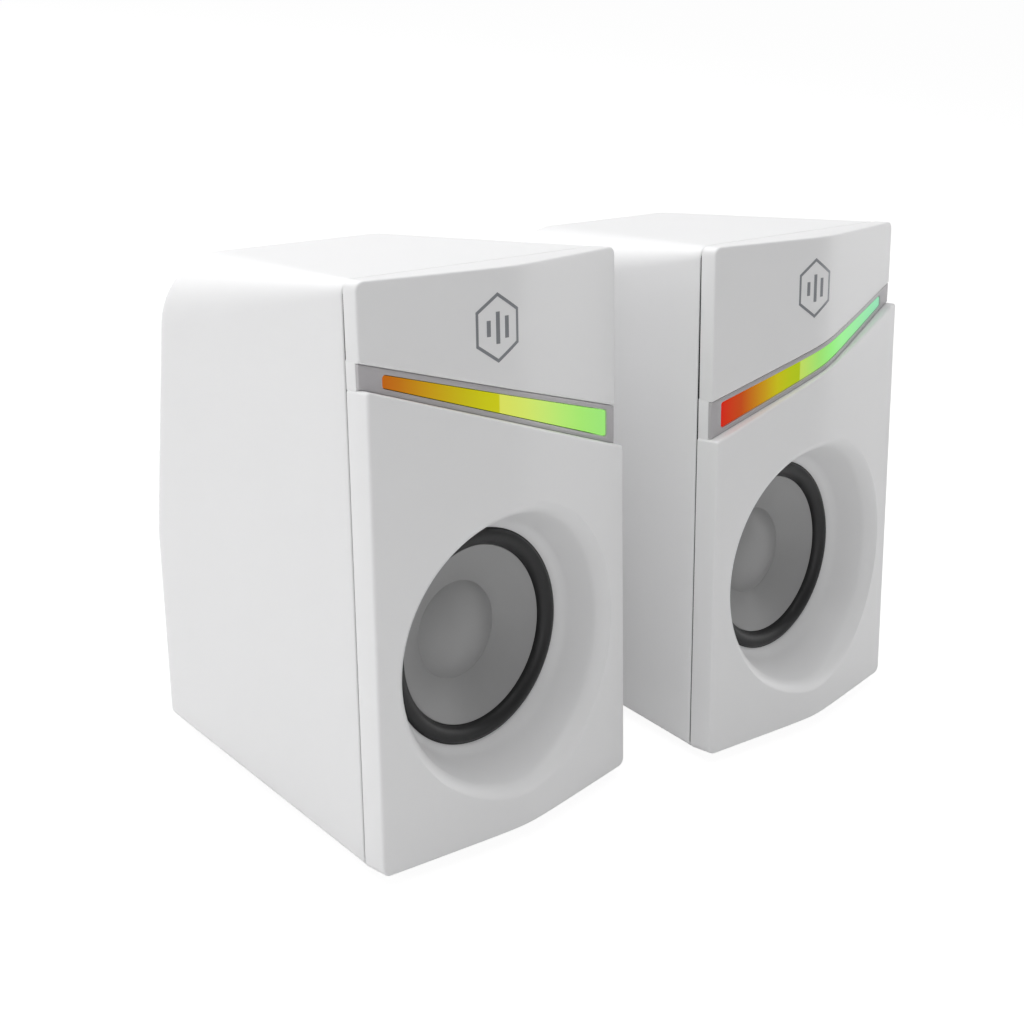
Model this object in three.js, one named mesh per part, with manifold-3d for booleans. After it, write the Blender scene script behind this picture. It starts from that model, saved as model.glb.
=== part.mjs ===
// A pair of desktop speakers that lean back on their undersides: the right one holds the amplifier and the
// controls, the left one is fed from it. Each is built in the frame of its own front panel: X across, Y from
// the panel into the case, Z up the panel, with the origin at the foot of the seam between panel and case.
import * as THREE from "three";
import { mergeVertices } from "three/addons/utils/BufferGeometryUtils.js";
import { ConvexGeometry } from "three/addons/geometries/ConvexGeometry.js";
import Module from "manifold-3d";

// Driving dimensions, in millimetres and degrees.
const GAP = 0.3; // between pieces that touch
const LEAN = 10; // how far the front panel leans back
const PAIR_SPACING = 124; // centre to centre
const RIGHT_FORWARD = 13; // the right speaker stands this much nearer the listener
const FOOT_HEIGHT = 2;
const FOOT_RADIUS = 5;
const FOOT_INSET = 13; // foot centre from the case's side, front and rear

const CASE_HEIGHT = 160;
const CASE_TOP_WIDTH = 94.4;
const CASE_FLARE = 1.6; // each side is this much further out at the bottom
const CASE_DEPTH = 96;
const CASE_WALL = 2.8;
const REAR_BEND_HEIGHT = 76; // above this the rear slopes forwards
const REAR_SLOPE = 9;
const REAR_EDGE = 5; // rounding of the rear's outline
const TOP_ROUND_FRONT = 4; // the top's side edges, rounder towards the rear
const TOP_ROUND_REAR = 19;
const BOTTOM_ROUND = 3;

const SEAM = 0.5; // open joint between panel and case
const PANEL_WALL = 2.8;
const PANEL_CORNER = 2.5;
const LOWER_EDGE = 8.3; // the lower panel's thickness at its sides
const LOWER_BULGE = 6.3; // and how much more it has at the middle
const UPPER_EDGE = 5.2;
const UPPER_BULGE = 8.3;
const BEND_SHARPNESS = 0.12; // the bend's radius as a share of the half width
const GASKET_WIDTH = 1.2;
const GASKET_DEPTH = 1.2;
const GASKET_INSET = 1;

// The light channel crosses the panel: heights up the panel of its edges at the outer and inner side.
const CHANNEL_TOP_OUTER = 140;
const CHANNEL_TOP_INNER = 113.8;
const CHANNEL_FOOT_OUTER = 133.4;
const CHANNEL_FOOT_INNER = 102.2;
const TRIM_THICKNESS = 1.3;
const BAR_MARGIN = 1.9; // trim left above and below the light bar
const BAR_OUTER_END = 7; // from the panel's sides
const BAR_INNER_END = 4.6;
const BAR_THICKNESS = 4.2;
const BAR_RECESS = 0.2;
const LED_BOARD_HEIGHT = 7;
const LED_BOARD_THICKNESS = 1.6;

const DRIVER_HEIGHT = 52.5; // its axis, up the panel
const DISH_RADIUS = 39.9;
const SURROUND_RADIUS = 31.7; // outer edge of the half roll
const SURROUND_FLANGE = 2.9; // clamped beyond the roll
const SURROUND_SEAT = 5.3; // depth of the flange behind the seam
const SURROUND_THICKNESS = 0.6;
const ROLL_RISE = 2.7;
const ROLL_WIDTH = 4.9; // from the roll's outer edge to the cone
const CONE_RADIUS = SURROUND_RADIUS - ROLL_WIDTH;
const CONE_EDGE_DEPTH = 6.9;
const CONE_SLOPE = 30.5;
const CONE_THICKNESS = 0.6;
const DUST_CAP_RADIUS = 14.4;
const DUST_CAP_RISE = 3.6;
const COIL_RADIUS = 10.35;
const COIL_WALL = 0.6;
const COIL_LENGTH = 11.6;
const CONE_TRAVEL = 1.5; // each way
const BASKET_WALL = 1.2;
const BASKET_DEPTH = 15.5; // from its flange to the magnet's seat
const PLATE_THICKNESS = 3;
const PLATE_RADIUS = 21;
const MAGNET_RADIUS = 22.5;
const MAGNET_THICKNESS = 9;
const POLE_RADIUS = 9.3;
const COIL_CLEARANCE = 0.55;

const PORT_HEIGHT = 118;
const PORT_RADIUS = 10;
const PORT_WALL = 2;
const PORT_FLANGE = 16.5;
const PORT_LENGTH = 32;
const PORT_LIP = 1.8;

const POST_RADIUS = 3.8;
const POST_INSET = 11.2; // post axis from the case's side
const POST_LOW = 27;
const POST_HIGH = 146;
const SCREW_RADIUS = 1.5;
const SCREW_HEAD_RADIUS = 2.8;
const SCREW_HEAD_HEIGHT = 2;
const SCREW_GRIP = 11;
const SCREW_SINK = 2; // how far the head lies below the rear face

const REAR_PLATE_WIDTH = 52;
const REAR_PLATE_FOOT = 31;
const REAR_PLATE_HEIGHT = 38;
const REAR_PLATE_SINK = 0.6;
const REAR_PLATE_CORNER = 4;
const KNOB_RADIUS = 9;
const KNOB_HEIGHT = 9;
const KNOB_STAND_OFF = 0.8;
const KNOB_TURN_MARK = 1; // width of the pointer's groove
const STEM_RADIUS = 2.9;
const POT_SIZE = 15;
const POT_DEPTH = 7;
const BUTTON_RADIUS = 3.4;
const BUTTON_PROUD = 1.4;
const BUTTON_TRAVEL = 0.8;
const BUTTON_LENGTH = 7;
const JACK_RADIUS = 3.9;
const JACK_BORE = 1.8;
const JACK_LENGTH = 12;
const POWER_WIDTH = 9.4;
const POWER_HEIGHT = 3.7;
const POWER_WALL = 0.5;
const CONTROL_ROW = 19; // above the plate's foot
const UPPER_ROW = 26.5;
const LOWER_ROW = 8;
const BOARD_WIDTH = 66;
const BOARD_THICKNESS = 1.6;
const BOARD_SPACE = 13.5; // from the rear plate to the amplifier board

const ROUND = 24; // sides of the large round pieces
const SMALL_ROUND = 12;

const lean = THREE.MathUtils.degToRad(LEAN);
const rearSlope = THREE.MathUtils.degToRad(REAR_SLOPE);
const coneRise = Math.tan(THREE.MathUtils.degToRad(CONE_SLOPE));

const wasm = await Module();
wasm.setup();

// Turns a closed geometry into a solid, and turns it right side out where its profile ran the other way.
function solidOf(geometry) {
  const bare = geometry.clone();
  bare.deleteAttribute("normal");
  bare.deleteAttribute("uv");
  const merged = mergeVertices(bare, 1e-4);
  const corners = merged.index.array;
  const triVerts = new Uint32Array(corners);
  const vertProperties = new Float32Array(merged.attributes.position.array);
  const solid = new wasm.Manifold(new wasm.Mesh({ numProp: 3, vertProperties, triVerts }));
  if (solid.volume() > 0) return solid;
  const turned = triVerts.map((_, i) => corners[i % 3 === 0 ? i : i % 3 === 1 ? i + 1 : i - 1]);
  return new wasm.Manifold(new wasm.Mesh({ numProp: 3, vertProperties, triVerts: turned }));
}

function geometryOf(solid) {
  const mesh = solid.getMesh();
  const geometry = new THREE.BufferGeometry();
  geometry.setAttribute("position", new THREE.BufferAttribute(mesh.vertProperties.slice(), 3));
  geometry.setIndex(new THREE.BufferAttribute(mesh.triVerts.slice(), 1));
  geometry.computeVertexNormals();
  return geometry;
}

// An outline in X and Z, extruded along Y from front to rear.
function alongY(shape, front, rear) {
  const geometry = new THREE.ExtrudeGeometry(shape, { depth: rear - front, bevelEnabled: false, curveSegments: 4 });
  return solidOf(geometry.rotateX(Math.PI / 2).translate(0, rear, 0));
}

// A plan in X and Y, extruded up Z.
function alongZ(shape, foot, top) {
  const geometry = new THREE.ExtrudeGeometry(shape, { depth: top - foot, bevelEnabled: false });
  return solidOf(geometry.translate(0, 0, foot));
}

// A profile of [radius, y] points turned about an axis along Y through x, z.
function turned(points, x = 0, z = 0, sides = ROUND) {
  const profile = points.map(([radius, y]) => new THREE.Vector2(radius, y));
  return solidOf(new THREE.LatheGeometry(profile, sides).translate(x, 0, z));
}

function rod(radius, front, rear, x, z, sides = SMALL_ROUND) {
  return turned([[0, front], [radius, front], [radius, rear], [0, rear]], x, z, sides);
}

function ring(inner, outer, front, rear, x, z, sides = ROUND) {
  return turned([[inner, front], [outer, front], [outer, rear], [inner, rear], [inner, front]], x, z, sides);
}

function block(width, depth, height, x, y, z) {
  return solidOf(new THREE.BoxGeometry(width, depth, height).translate(x, y, z));
}

function roundedBox(width, height, corner, x, foot) {
  const shape = new THREE.Shape();
  const left = x - width / 2;
  const right = x + width / 2;
  const top = foot + height;
  shape.moveTo(left + corner, foot);
  shape.lineTo(right - corner, foot);
  shape.absarc(right - corner, foot + corner, corner, -Math.PI / 2, 0);
  shape.lineTo(right, top - corner);
  shape.absarc(right - corner, top - corner, corner, 0, Math.PI / 2);
  shape.lineTo(left + corner, top);
  shape.absarc(left + corner, top - corner, corner, Math.PI / 2, Math.PI);
  shape.lineTo(left, foot + corner);
  shape.absarc(left + corner, foot + corner, corner, Math.PI, 1.5 * Math.PI);
  return shape;
}

function mesh(name, solid, material) {
  const made = new THREE.Mesh(geometryOf(solid), material);
  made.name = name;
  return made;
}

// Materials.
const finish = (color, roughness, metalness = 0) => new THREE.MeshStandardMaterial({ color, roughness, metalness });
const whitePlastic = () => finish(0xf2f2f2, 0.38);
const greyTrim = () => finish(0x9a9a9a, 0.3);
const lightGuide = () => finish(0xd9e04a, 0.2);
const blackFoam = () => finish(0x1c1c1c, 0.95);
const blackRubber = () => finish(0x161616, 0.6);
const conePaper = () => finish(0x8c8c8c, 0.45);
const pressedSteel = () => finish(0x3b3d40, 0.45, 0.9);
const zincSteel = () => finish(0xb4b8bc, 0.35, 1);
const ferrite = () => finish(0x2a2a2c, 0.8);
const copperCoil = () => finish(0xb06a3a, 0.4, 1);
const spiderCloth = () => finish(0xc89a4a, 0.9);
const blackPlastic = () => finish(0x202022, 0.5);
const circuitBoard = () => finish(0x1f5a3a, 0.5);

// The case's half width at a height up the panel.
const halfWidth = (z) => CASE_TOP_WIDTH / 2 + CASE_FLARE * (1 - z / CASE_HEIGHT);
// The rear face's depth: upright up to the bend, then sloping forwards.
const rearDepth = (z) => CASE_DEPTH - Math.max(0, z - REAR_BEND_HEIGHT) * Math.tan(rearSlope);
// The underside's height up the panel: level on the desk, so rising in the panel's frame.
const underside = (y) => Math.max(0, y) * Math.tan(lean);

// Points round one cross-section of the case, inset all round; depth gives the section's y at each height.
function caseSection(depth, inset, topRound) {
  const points = [];
  const top = CASE_HEIGHT - inset;
  const foot = underside(depth(0)) + inset;
  for (const side of [-1, 1]) {
    const bend = side * (halfWidth(REAR_BEND_HEIGHT) - inset);
    points.push(new THREE.Vector3(bend, depth(REAR_BEND_HEIGHT), REAR_BEND_HEIGHT));
    for (const [level, radius, start] of [[foot, BOTTOM_ROUND, -90], [top, topRound, 0]]) {
      const round = Math.max(radius - inset, 0.6);
      const centre = level === top ? top - round : foot + round;
      for (let step = 0; step <= 3; step++) {
        const angle = THREE.MathUtils.degToRad(start + step * 30);
        const z = centre + round * Math.sin(angle);
        const x = side * (halfWidth(z) - inset - round + round * Math.cos(angle));
        points.push(new THREE.Vector3(x, depth(z), z));
      }
    }
  }
  return points;
}

// The closed outer form of the case, or with an inset the room inside it.
function caseForm(inset, front) {
  const rear = (back) => (z) => rearDepth(z) - inset - back;
  return solidOf(new ConvexGeometry([
    ...caseSection(() => front, inset, TOP_ROUND_FRONT),
    ...caseSection(rear(REAR_EDGE), inset, TOP_ROUND_REAR),
    ...caseSection(rear(REAR_EDGE * 0.3), inset + REAR_EDGE * 0.3, TOP_ROUND_REAR),
    ...caseSection(rear(0), inset + REAR_EDGE, TOP_ROUND_REAR),
  ]));
}

// Where the four screws run that hold the panel's posts to the rear of the case.
const postPlaces = [-1, 1].flatMap((side) =>
  [[POST_LOW, LOWER_EDGE], [POST_HIGH, UPPER_EDGE]].map(([z, panelEdge]) => (
    { x: side * (halfWidth(z) - POST_INSET), z, front: -panelEdge, rear: rearDepth(z) }
  )),
);
const postEnd = (place) => place.rear - CASE_WALL - SCREW_SINK - SCREW_HEAD_HEIGHT;

const rearPlateShape = (margin) => roundedBox(
  REAR_PLATE_WIDTH + 2 * margin,
  REAR_PLATE_HEIGHT + 2 * margin,
  REAR_PLATE_CORNER + margin,
  0,
  REAR_PLATE_FOOT - margin,
);

// Puts a solid made about its own Y axis on the sloping part of the rear.
function onRearSlope(solid) {
  return solid.rotate([REAR_SLOPE, 0, 0]).translate([0, rearDepth(PORT_HEIGHT), PORT_HEIGHT]);
}

function makeCase() {
  let body = caseForm(0, 0).subtract(caseForm(CASE_WALL, -1));
  for (const place of postPlaces) {
    const pad = rod(POST_RADIUS + 1, postEnd(place) + GAP, place.rear - 1, place.x, place.z);
    body = body.add(pad);
  }
  for (const place of postPlaces) {
    const seat = place.rear - SCREW_SINK - SCREW_HEAD_HEIGHT - GAP;
    body = body.subtract(rod(SCREW_HEAD_RADIUS + GAP, seat, place.rear + 1, place.x, place.z));
    body = body.subtract(rod(SCREW_RADIUS + GAP, postEnd(place) - 1, seat + 1, place.x, place.z));
  }
  body = body.subtract(onRearSlope(rod(PORT_RADIUS + PORT_WALL + GAP, -CASE_WALL - 4, 4, 0, 0, ROUND)));
  return body.subtract(alongY(rearPlateShape(GAP), CASE_DEPTH - CASE_WALL - 1, CASE_DEPTH + 1));
}

// The panel's outline seen from the front, inset all round.
function panelOutline(inset) {
  const corner = Math.max(PANEL_CORNER - inset, 0.6);
  const shape = new THREE.Shape();
  const top = CASE_HEIGHT - inset;
  const low = halfWidth(inset + corner) - inset;
  const high = halfWidth(top - corner) - inset;
  shape.moveTo(-low + corner, inset);
  shape.absarc(low - corner, inset + corner, corner, -Math.PI / 2, 0);
  shape.absarc(high - corner, top - corner, corner, 0, Math.PI / 2);
  shape.absarc(-high + corner, top - corner, corner, Math.PI / 2, Math.PI);
  shape.absarc(-low + corner, inset + corner, corner, Math.PI, 1.5 * Math.PI);
  return shape;
}

// How far the middle of the panel stands out, from 0 at its sides to 1 at its middle: two flats and a soft bend.
function crown(share) {
  const full = Math.hypot(1, BEND_SHARPNESS) - BEND_SHARPNESS;
  return 1 - (Math.hypot(share, BEND_SHARPNESS) - BEND_SHARPNESS) / full;
}

// A convex slab whose front stands edge + bulge in front of the seam, less a depth below that surface.
function slab(edge, bulge, below, rear) {
  const widest = halfWidth(0) + 1;
  const shares = [-1, -0.36, -0.14, 0, 0.14, 0.36, 1];
  const plan = new THREE.Shape();
  plan.moveTo(widest, rear);
  plan.lineTo(-widest, rear);
  for (const share of shares) {
    plan.lineTo(share * widest, below - edge - bulge * crown(share));
  }
  return alongZ(plan, -1, CASE_HEIGHT + 1);
}
const upperSlab = (below, rear) => slab(UPPER_EDGE, UPPER_BULGE, below, rear);
const lowerSlab = (below, rear) => slab(LOWER_EDGE, LOWER_BULGE, below, rear);

// Heights of the light channel's edges at x, on the speaker whose outer side is side * X.
function channelEdge(side, x, outer, inner) {
  const share = (1 + (side * x) / halfWidth(CHANNEL_TOP_INNER)) / 2;
  return inner + (outer - inner) * share;
}
const channelTop = (side, x) => channelEdge(side, x, CHANNEL_TOP_OUTER, CHANNEL_TOP_INNER);
const channelFoot = (side, x) => channelEdge(side, x, CHANNEL_FOOT_OUTER, CHANNEL_FOOT_INNER);

// The band between two height functions, from one x to another.
function bandShape(from, to, foot, top) {
  const shape = new THREE.Shape();
  shape.moveTo(from, foot(from));
  shape.lineTo(to, foot(to));
  shape.lineTo(to, top(to));
  shape.lineTo(from, top(from));
  return shape;
}

function channelBand(side, margin) {
  const reach = halfWidth(0) + 1;
  return bandShape(-reach, reach, (x) => channelFoot(side, x) + margin, (x) => channelTop(side, x) - margin);
}

function barShape(side, margin) {
  const outer = side * (halfWidth(CHANNEL_TOP_OUTER) - BAR_OUTER_END + margin);
  const inner = -side * (halfWidth(CHANNEL_TOP_INNER) - BAR_INNER_END + margin);
  const foot = (x) => channelFoot(side, x) + BAR_MARGIN - margin;
  const top = (x) => channelTop(side, x) - BAR_MARGIN + margin;
  return bandShape(Math.min(outer, inner), Math.max(outer, inner), foot, top);
}

// The dish's wall as [radius, y], from in front of the panel to the surround; a wall's thickness makes its back.
function dishProfile(thickness) {
  const mouth = DISH_RADIUS + thickness;
  const throat = SURROUND_RADIUS + GAP + thickness;
  const depth = LOWER_EDGE + SURROUND_SEAT;
  const step = mouth - throat;
  return [
    [0, -LOWER_EDGE - LOWER_BULGE - 6],
    [mouth + 1.5, -LOWER_EDGE - LOWER_BULGE - 6],
    [mouth, -LOWER_EDGE - 2.5],
    [mouth - step * 0.12, SURROUND_SEAT - depth * 0.94],
    [mouth - step * 0.36, SURROUND_SEAT - depth * 0.6],
    [mouth - step * 0.68, SURROUND_SEAT - depth * 0.28],
    [throat, SURROUND_SEAT],
    [throat, SURROUND_SEAT + 2],
    [0, SURROUND_SEAT + 2],
  ];
}

function makeFrontPanel(side) {
  const ledge = (x) => channelFoot(side, x);
  const reach = halfWidth(0) + 2;
  const lowerPart = alongY(bandShape(-reach, reach, () => -2, ledge), -60, 60);
  const form = (below, rear) => upperSlab(below, rear).add(lowerSlab(below, rear).intersect(lowerPart));
  const outline = alongY(panelOutline(0), -60, SURROUND_SEAT);
  let panel = form(0, 20).intersect(outline).subtract(block(200, 40, 400, 0, 20 - SEAM, 100));
  panel = panel.subtract(form(PANEL_WALL, 20).intersect(alongY(panelOutline(PANEL_WALL), -60, 60)));
  const dishBack = turned(dishProfile(PANEL_WALL), 0, DRIVER_HEIGHT);
  panel = panel.add(form(0, 20).intersect(outline).intersect(dishBack));
  for (const place of postPlaces) {
    panel = panel.add(rod(POST_RADIUS, place.front, postEnd(place), place.x, place.z));
  }
  for (const place of postPlaces) {
    const hole = rod(SCREW_RADIUS + GAP, postEnd(place) - SCREW_GRIP - GAP, postEnd(place) + 1, place.x, place.z);
    panel = panel.subtract(hole);
  }
  panel = panel.subtract(turned(dishProfile(0), 0, DRIVER_HEIGHT));
  const pocket = alongY(channelBand(side, 0), -60, 0).subtract(upperSlab(TRIM_THICKNESS + GAP, 20));
  panel = panel.subtract(pocket).subtract(alongY(barShape(side, GAP), -60, 4));
  const grooveDepth = SEAM + GASKET_DEPTH;
  const groove = alongY(panelOutline(GASKET_INSET - GAP), -grooveDepth, 1)
    .subtract(alongY(panelOutline(GASKET_INSET + GASKET_WIDTH + GAP), -grooveDepth - 1, 2));
  return panel.subtract(groove);
}

function makeGasket() {
  const front = GAP - SEAM - GASKET_DEPTH;
  return alongY(panelOutline(GASKET_INSET), front, -GAP)
    .subtract(alongY(panelOutline(GASKET_INSET + GASKET_WIDTH), front - 1, 1));
}

function makeTrim(side) {
  return upperSlab(0, 20)
    .subtract(upperSlab(TRIM_THICKNESS, 21))
    .intersect(alongY(channelBand(side, GAP), -60, 0))
    .intersect(alongY(panelOutline(0), -60, 0))
    .subtract(alongY(barShape(side, GAP), -60, 4));
}

function makeLightBar(side) {
  return upperSlab(BAR_RECESS, 20)
    .subtract(upperSlab(BAR_RECESS + BAR_THICKNESS, 21))
    .intersect(alongY(barShape(side, 0), -60, 1));
}

function makeLedBoard(side) {
  const middle = (x) => (channelTop(side, x) + channelFoot(side, x)) / 2;
  const reach = halfWidth(CASE_HEIGHT) - CASE_WALL - 4;
  const shape = bandShape(-reach, reach, (x) => middle(x) - LED_BOARD_HEIGHT / 2, (x) => middle(x) + LED_BOARD_HEIGHT / 2);
  let board = alongY(shape, 0.4, 0.4 + LED_BOARD_THICKNESS);
  for (const place of postPlaces) {
    board = board.subtract(rod(POST_RADIUS + GAP, -2, 4, place.x, place.z));
  }
  return board;
}

// The driver, from the surround back to the yoke, about its own axis.
const basketFront = SURROUND_SEAT + SURROUND_THICKNESS + 2 * GAP;
const basketSeat = basketFront + BASKET_DEPTH;
const coneAt = (radius) => CONE_EDGE_DEPTH + (CONE_RADIUS - radius) * coneRise;
const flangeRadius = SURROUND_RADIUS + SURROUND_FLANGE;
const gapBore = COIL_RADIUS + COIL_CLEARANCE;

function makeSurround() {
  const front = SURROUND_SEAT + GAP;
  const inner = CONE_RADIUS - 1.2;
  const middle = (SURROUND_RADIUS + CONE_RADIUS) / 2;
  const half = (SURROUND_RADIUS - CONE_RADIUS) / 2;
  const roll = (rise, grow, start, end) => [0, 1, 2, 3, 4].map((step) => {
    const angle = Math.PI * (step / 4);
    const slope = start + (end - start) * (step / 4);
    return [middle + (half + grow) * Math.cos(angle), slope - rise * Math.sin(angle)];
  });
  const innerFace = CONE_EDGE_DEPTH - GAP - SURROUND_THICKNESS;
  const outside = roll(ROLL_RISE, 0, front, innerFace);
  const inside = roll(ROLL_RISE - SURROUND_THICKNESS, -SURROUND_THICKNESS, front + SURROUND_THICKNESS,
    innerFace + SURROUND_THICKNESS).reverse();
  return turned([
    [flangeRadius, front],
    ...outside,
    [inner, innerFace + 0.4],
    [inner, innerFace + SURROUND_THICKNESS],
    ...inside,
    [flangeRadius, front + SURROUND_THICKNESS],
    [flangeRadius, front],
  ], 0, DRIVER_HEIGHT);
}

function makeCone() {
  const neck = COIL_RADIUS + GAP;
  return turned([
    [CONE_RADIUS - 0.2, CONE_EDGE_DEPTH],
    [CONE_RADIUS - 0.2, CONE_EDGE_DEPTH + CONE_THICKNESS],
    [DUST_CAP_RADIUS, coneAt(DUST_CAP_RADIUS) + CONE_THICKNESS],
    [neck, coneAt(neck) + CONE_THICKNESS],
    [neck, coneAt(neck)],
    [DUST_CAP_RADIUS, coneAt(DUST_CAP_RADIUS)],
    [CONE_RADIUS - 1.6, CONE_EDGE_DEPTH],
    [CONE_RADIUS - 0.2, CONE_EDGE_DEPTH],
  ], 0, DRIVER_HEIGHT);
}

function makeDustCap() {
  const rim = coneAt(DUST_CAP_RADIUS) - GAP - CONE_THICKNESS;
  const dome = [0, 0.4, 0.75, 1].map((share) => [share, rim - DUST_CAP_RISE * Math.cos(share * Math.PI / 2)]);
  const front = dome.map(([share, y]) => [share * DUST_CAP_RADIUS, y]);
  const back = dome.map(([share, y]) => [share * (DUST_CAP_RADIUS - 0.7), y + CONE_THICKNESS]).reverse();
  return turned([...front, ...back], 0, DRIVER_HEIGHT);
}

const coilFront = coneAt(COIL_RADIUS) + GAP;

function makeVoiceCoil() {
  return ring(COIL_RADIUS - COIL_WALL, COIL_RADIUS, coilFront, coilFront + COIL_LENGTH, 0, DRIVER_HEIGHT);
}

const spiderDepth = basketSeat - CONE_TRAVEL - 0.9;
// The basket's inner radius at a depth: it narrows from the flange to the magnet's seat.
const basketMouth = CONE_RADIUS + 2.2;
function basketInside(y) {
  return basketMouth + (PLATE_RADIUS - basketMouth) * ((y - basketFront) / BASKET_DEPTH);
}

function makeSpider() {
  const inner = COIL_RADIUS + GAP;
  const outer = basketInside(spiderDepth + 0.8) - 2 * GAP;
  const waves = 4;
  const edge = [];
  for (let step = 0; step <= waves; step++) {
    const radius = inner + (outer - inner) * (step / waves);
    const wave = step > 0 && step < waves ? (step % 2 ? 0.35 : -0.35) : 0;
    edge.push([radius, spiderDepth + wave]);
  }
  const back = edge.map(([radius, y]) => [radius, y + 0.4]).reverse();
  return turned([...edge, ...back, edge[0]], 0, DRIVER_HEIGHT);
}

function makeBasket() {
  const seatBore = gapBore + 1.4;
  let basket = turned([
    [basketMouth, basketFront],
    [flangeRadius, basketFront],
    [flangeRadius, basketFront + BASKET_WALL],
    [basketMouth + BASKET_WALL, basketFront + BASKET_WALL],
    [PLATE_RADIUS + BASKET_WALL, basketSeat],
    [PLATE_RADIUS + BASKET_WALL, basketSeat + BASKET_WALL],
    [seatBore, basketSeat + BASKET_WALL],
    [seatBore, basketSeat],
    [PLATE_RADIUS, basketSeat],
    [basketMouth, basketFront],
  ], 0, DRIVER_HEIGHT);
  const windowDepth = BASKET_DEPTH * 0.42;
  for (const turn of [0, 1, 2, 3]) {
    const window = solidOf(new THREE.BoxGeometry(24, windowDepth, 12).translate(0, 0, basketMouth - 1));
    basket = basket.subtract(window.rotate([0, 45 + turn * 90, 0])
      .translate([0, basketFront + BASKET_WALL + 1 + windowDepth / 2, DRIVER_HEIGHT]));
  }
  return basket;
}

const topPlateFront = basketSeat + BASKET_WALL + GAP;
const magnetFront = topPlateFront + PLATE_THICKNESS + GAP;
const yokeFront = magnetFront + MAGNET_THICKNESS + GAP;

function makeTopPlate() {
  return ring(gapBore, PLATE_RADIUS, topPlateFront, topPlateFront + PLATE_THICKNESS, 0, DRIVER_HEIGHT);
}

function makeMagnet() {
  return ring(gapBore + 1.5, MAGNET_RADIUS, magnetFront, magnetFront + MAGNET_THICKNESS, 0, DRIVER_HEIGHT);
}

function makeYoke() {
  return turned([
    [0, topPlateFront],
    [POLE_RADIUS, topPlateFront],
    [POLE_RADIUS, yokeFront],
    [PLATE_RADIUS, yokeFront],
    [PLATE_RADIUS, yokeFront + PLATE_THICKNESS],
    [0, yokeFront + PLATE_THICKNESS],
  ], 0, DRIVER_HEIGHT);
}

function makePort() {
  const outer = PORT_RADIUS + PORT_WALL;
  return onRearSlope(turned([
    [PORT_RADIUS, -PORT_LENGTH],
    [outer, -PORT_LENGTH],
    [outer, GAP],
    [PORT_FLANGE, GAP],
    [PORT_FLANGE, GAP + 0.9],
    [PORT_FLANGE - 1, PORT_LIP],
    [PORT_RADIUS + 3.4, PORT_LIP],
    [PORT_RADIUS + 1.5, PORT_LIP - 1.4],
    [PORT_RADIUS + 0.4, PORT_LIP - 4],
    [PORT_RADIUS, PORT_LIP - 7],
    [PORT_RADIUS, -PORT_LENGTH],
  ]));
}

function makeCaseScrew(place) {
  const under = place.rear - SCREW_SINK - SCREW_HEAD_HEIGHT;
  const head = turned([
    [0, under],
    [SCREW_HEAD_RADIUS, under],
    [SCREW_HEAD_RADIUS, under + SCREW_HEAD_HEIGHT * 0.6],
    [SCREW_HEAD_RADIUS * 0.6, under + SCREW_HEAD_HEIGHT],
    [0, under + SCREW_HEAD_HEIGHT],
  ], place.x, place.z, SMALL_ROUND);
  const shank = rod(SCREW_RADIUS, postEnd(place) - SCREW_GRIP, under + 0.5, place.x, place.z, 12);
  const slot = (width, height) => block(width, 1.6, height, place.x, under + SCREW_HEAD_HEIGHT, place.z);
  return head.add(shank).subtract(slot(2.6, 0.6)).subtract(slot(0.6, 2.6));
}

// The rear plate's layout: where each control or socket comes through.
const plateFace = CASE_DEPTH - REAR_PLATE_SINK;
const plateBack = CASE_DEPTH - CASE_WALL;
const knobPlace = { x: -8, z: REAR_PLATE_FOOT + UPPER_ROW };
const buttonPlace = { x: 14, z: REAR_PLATE_FOOT + UPPER_ROW };
const audioPlace = { x: -17, z: REAR_PLATE_FOOT + LOWER_ROW };
const linkPlace = { x: -4, z: REAR_PLATE_FOOT + LOWER_ROW };
const powerPlace = { x: 14, z: REAR_PLATE_FOOT + LOWER_ROW };
const passivePlace = { x: 0, z: REAR_PLATE_FOOT + CONTROL_ROW };

const powerShape = (grow) => roundedBox(
  POWER_WIDTH + 2 * grow,
  POWER_HEIGHT + 2 * grow,
  POWER_HEIGHT / 2 + grow - 0.05,
  powerPlace.x,
  powerPlace.z - POWER_HEIGHT / 2 - grow,
);

function makeRearPlate(active) {
  let plate = alongY(rearPlateShape(0), plateBack, plateFace);
  const bore = (radius, place) => rod(radius, plateBack - 1, plateFace + 1, place.x, place.z, SMALL_ROUND);
  if (!active) return plate.subtract(bore(JACK_RADIUS + GAP, passivePlace));
  plate = plate.subtract(bore(STEM_RADIUS + GAP, knobPlace)).subtract(bore(BUTTON_RADIUS + GAP, buttonPlace));
  plate = plate.subtract(bore(JACK_RADIUS + GAP, audioPlace)).subtract(bore(JACK_RADIUS + GAP, linkPlace));
  return plate.subtract(alongY(powerShape(GAP), plateBack - 1, plateFace + 1));
}

function makeJack(place) {
  const mouth = plateFace + 0.6;
  return turned([
    [0, mouth - JACK_LENGTH],
    [JACK_RADIUS, mouth - JACK_LENGTH],
    [JACK_RADIUS, mouth],
    [JACK_BORE, mouth],
    [JACK_BORE, mouth - JACK_LENGTH + 1.5],
    [0, mouth - JACK_LENGTH + 1.5],
  ], place.x, place.z, SMALL_ROUND);
}

function makePowerSocket() {
  const depth = 8;
  const shell = alongY(powerShape(0), plateFace - depth, plateFace + 0.2)
    .subtract(alongY(powerShape(-POWER_WALL), plateFace - depth + 1, plateFace + 1));
  return shell.add(block(POWER_WIDTH - 3, depth - 2, 0.7, powerPlace.x, plateFace - depth / 2, powerPlace.z));
}

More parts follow.
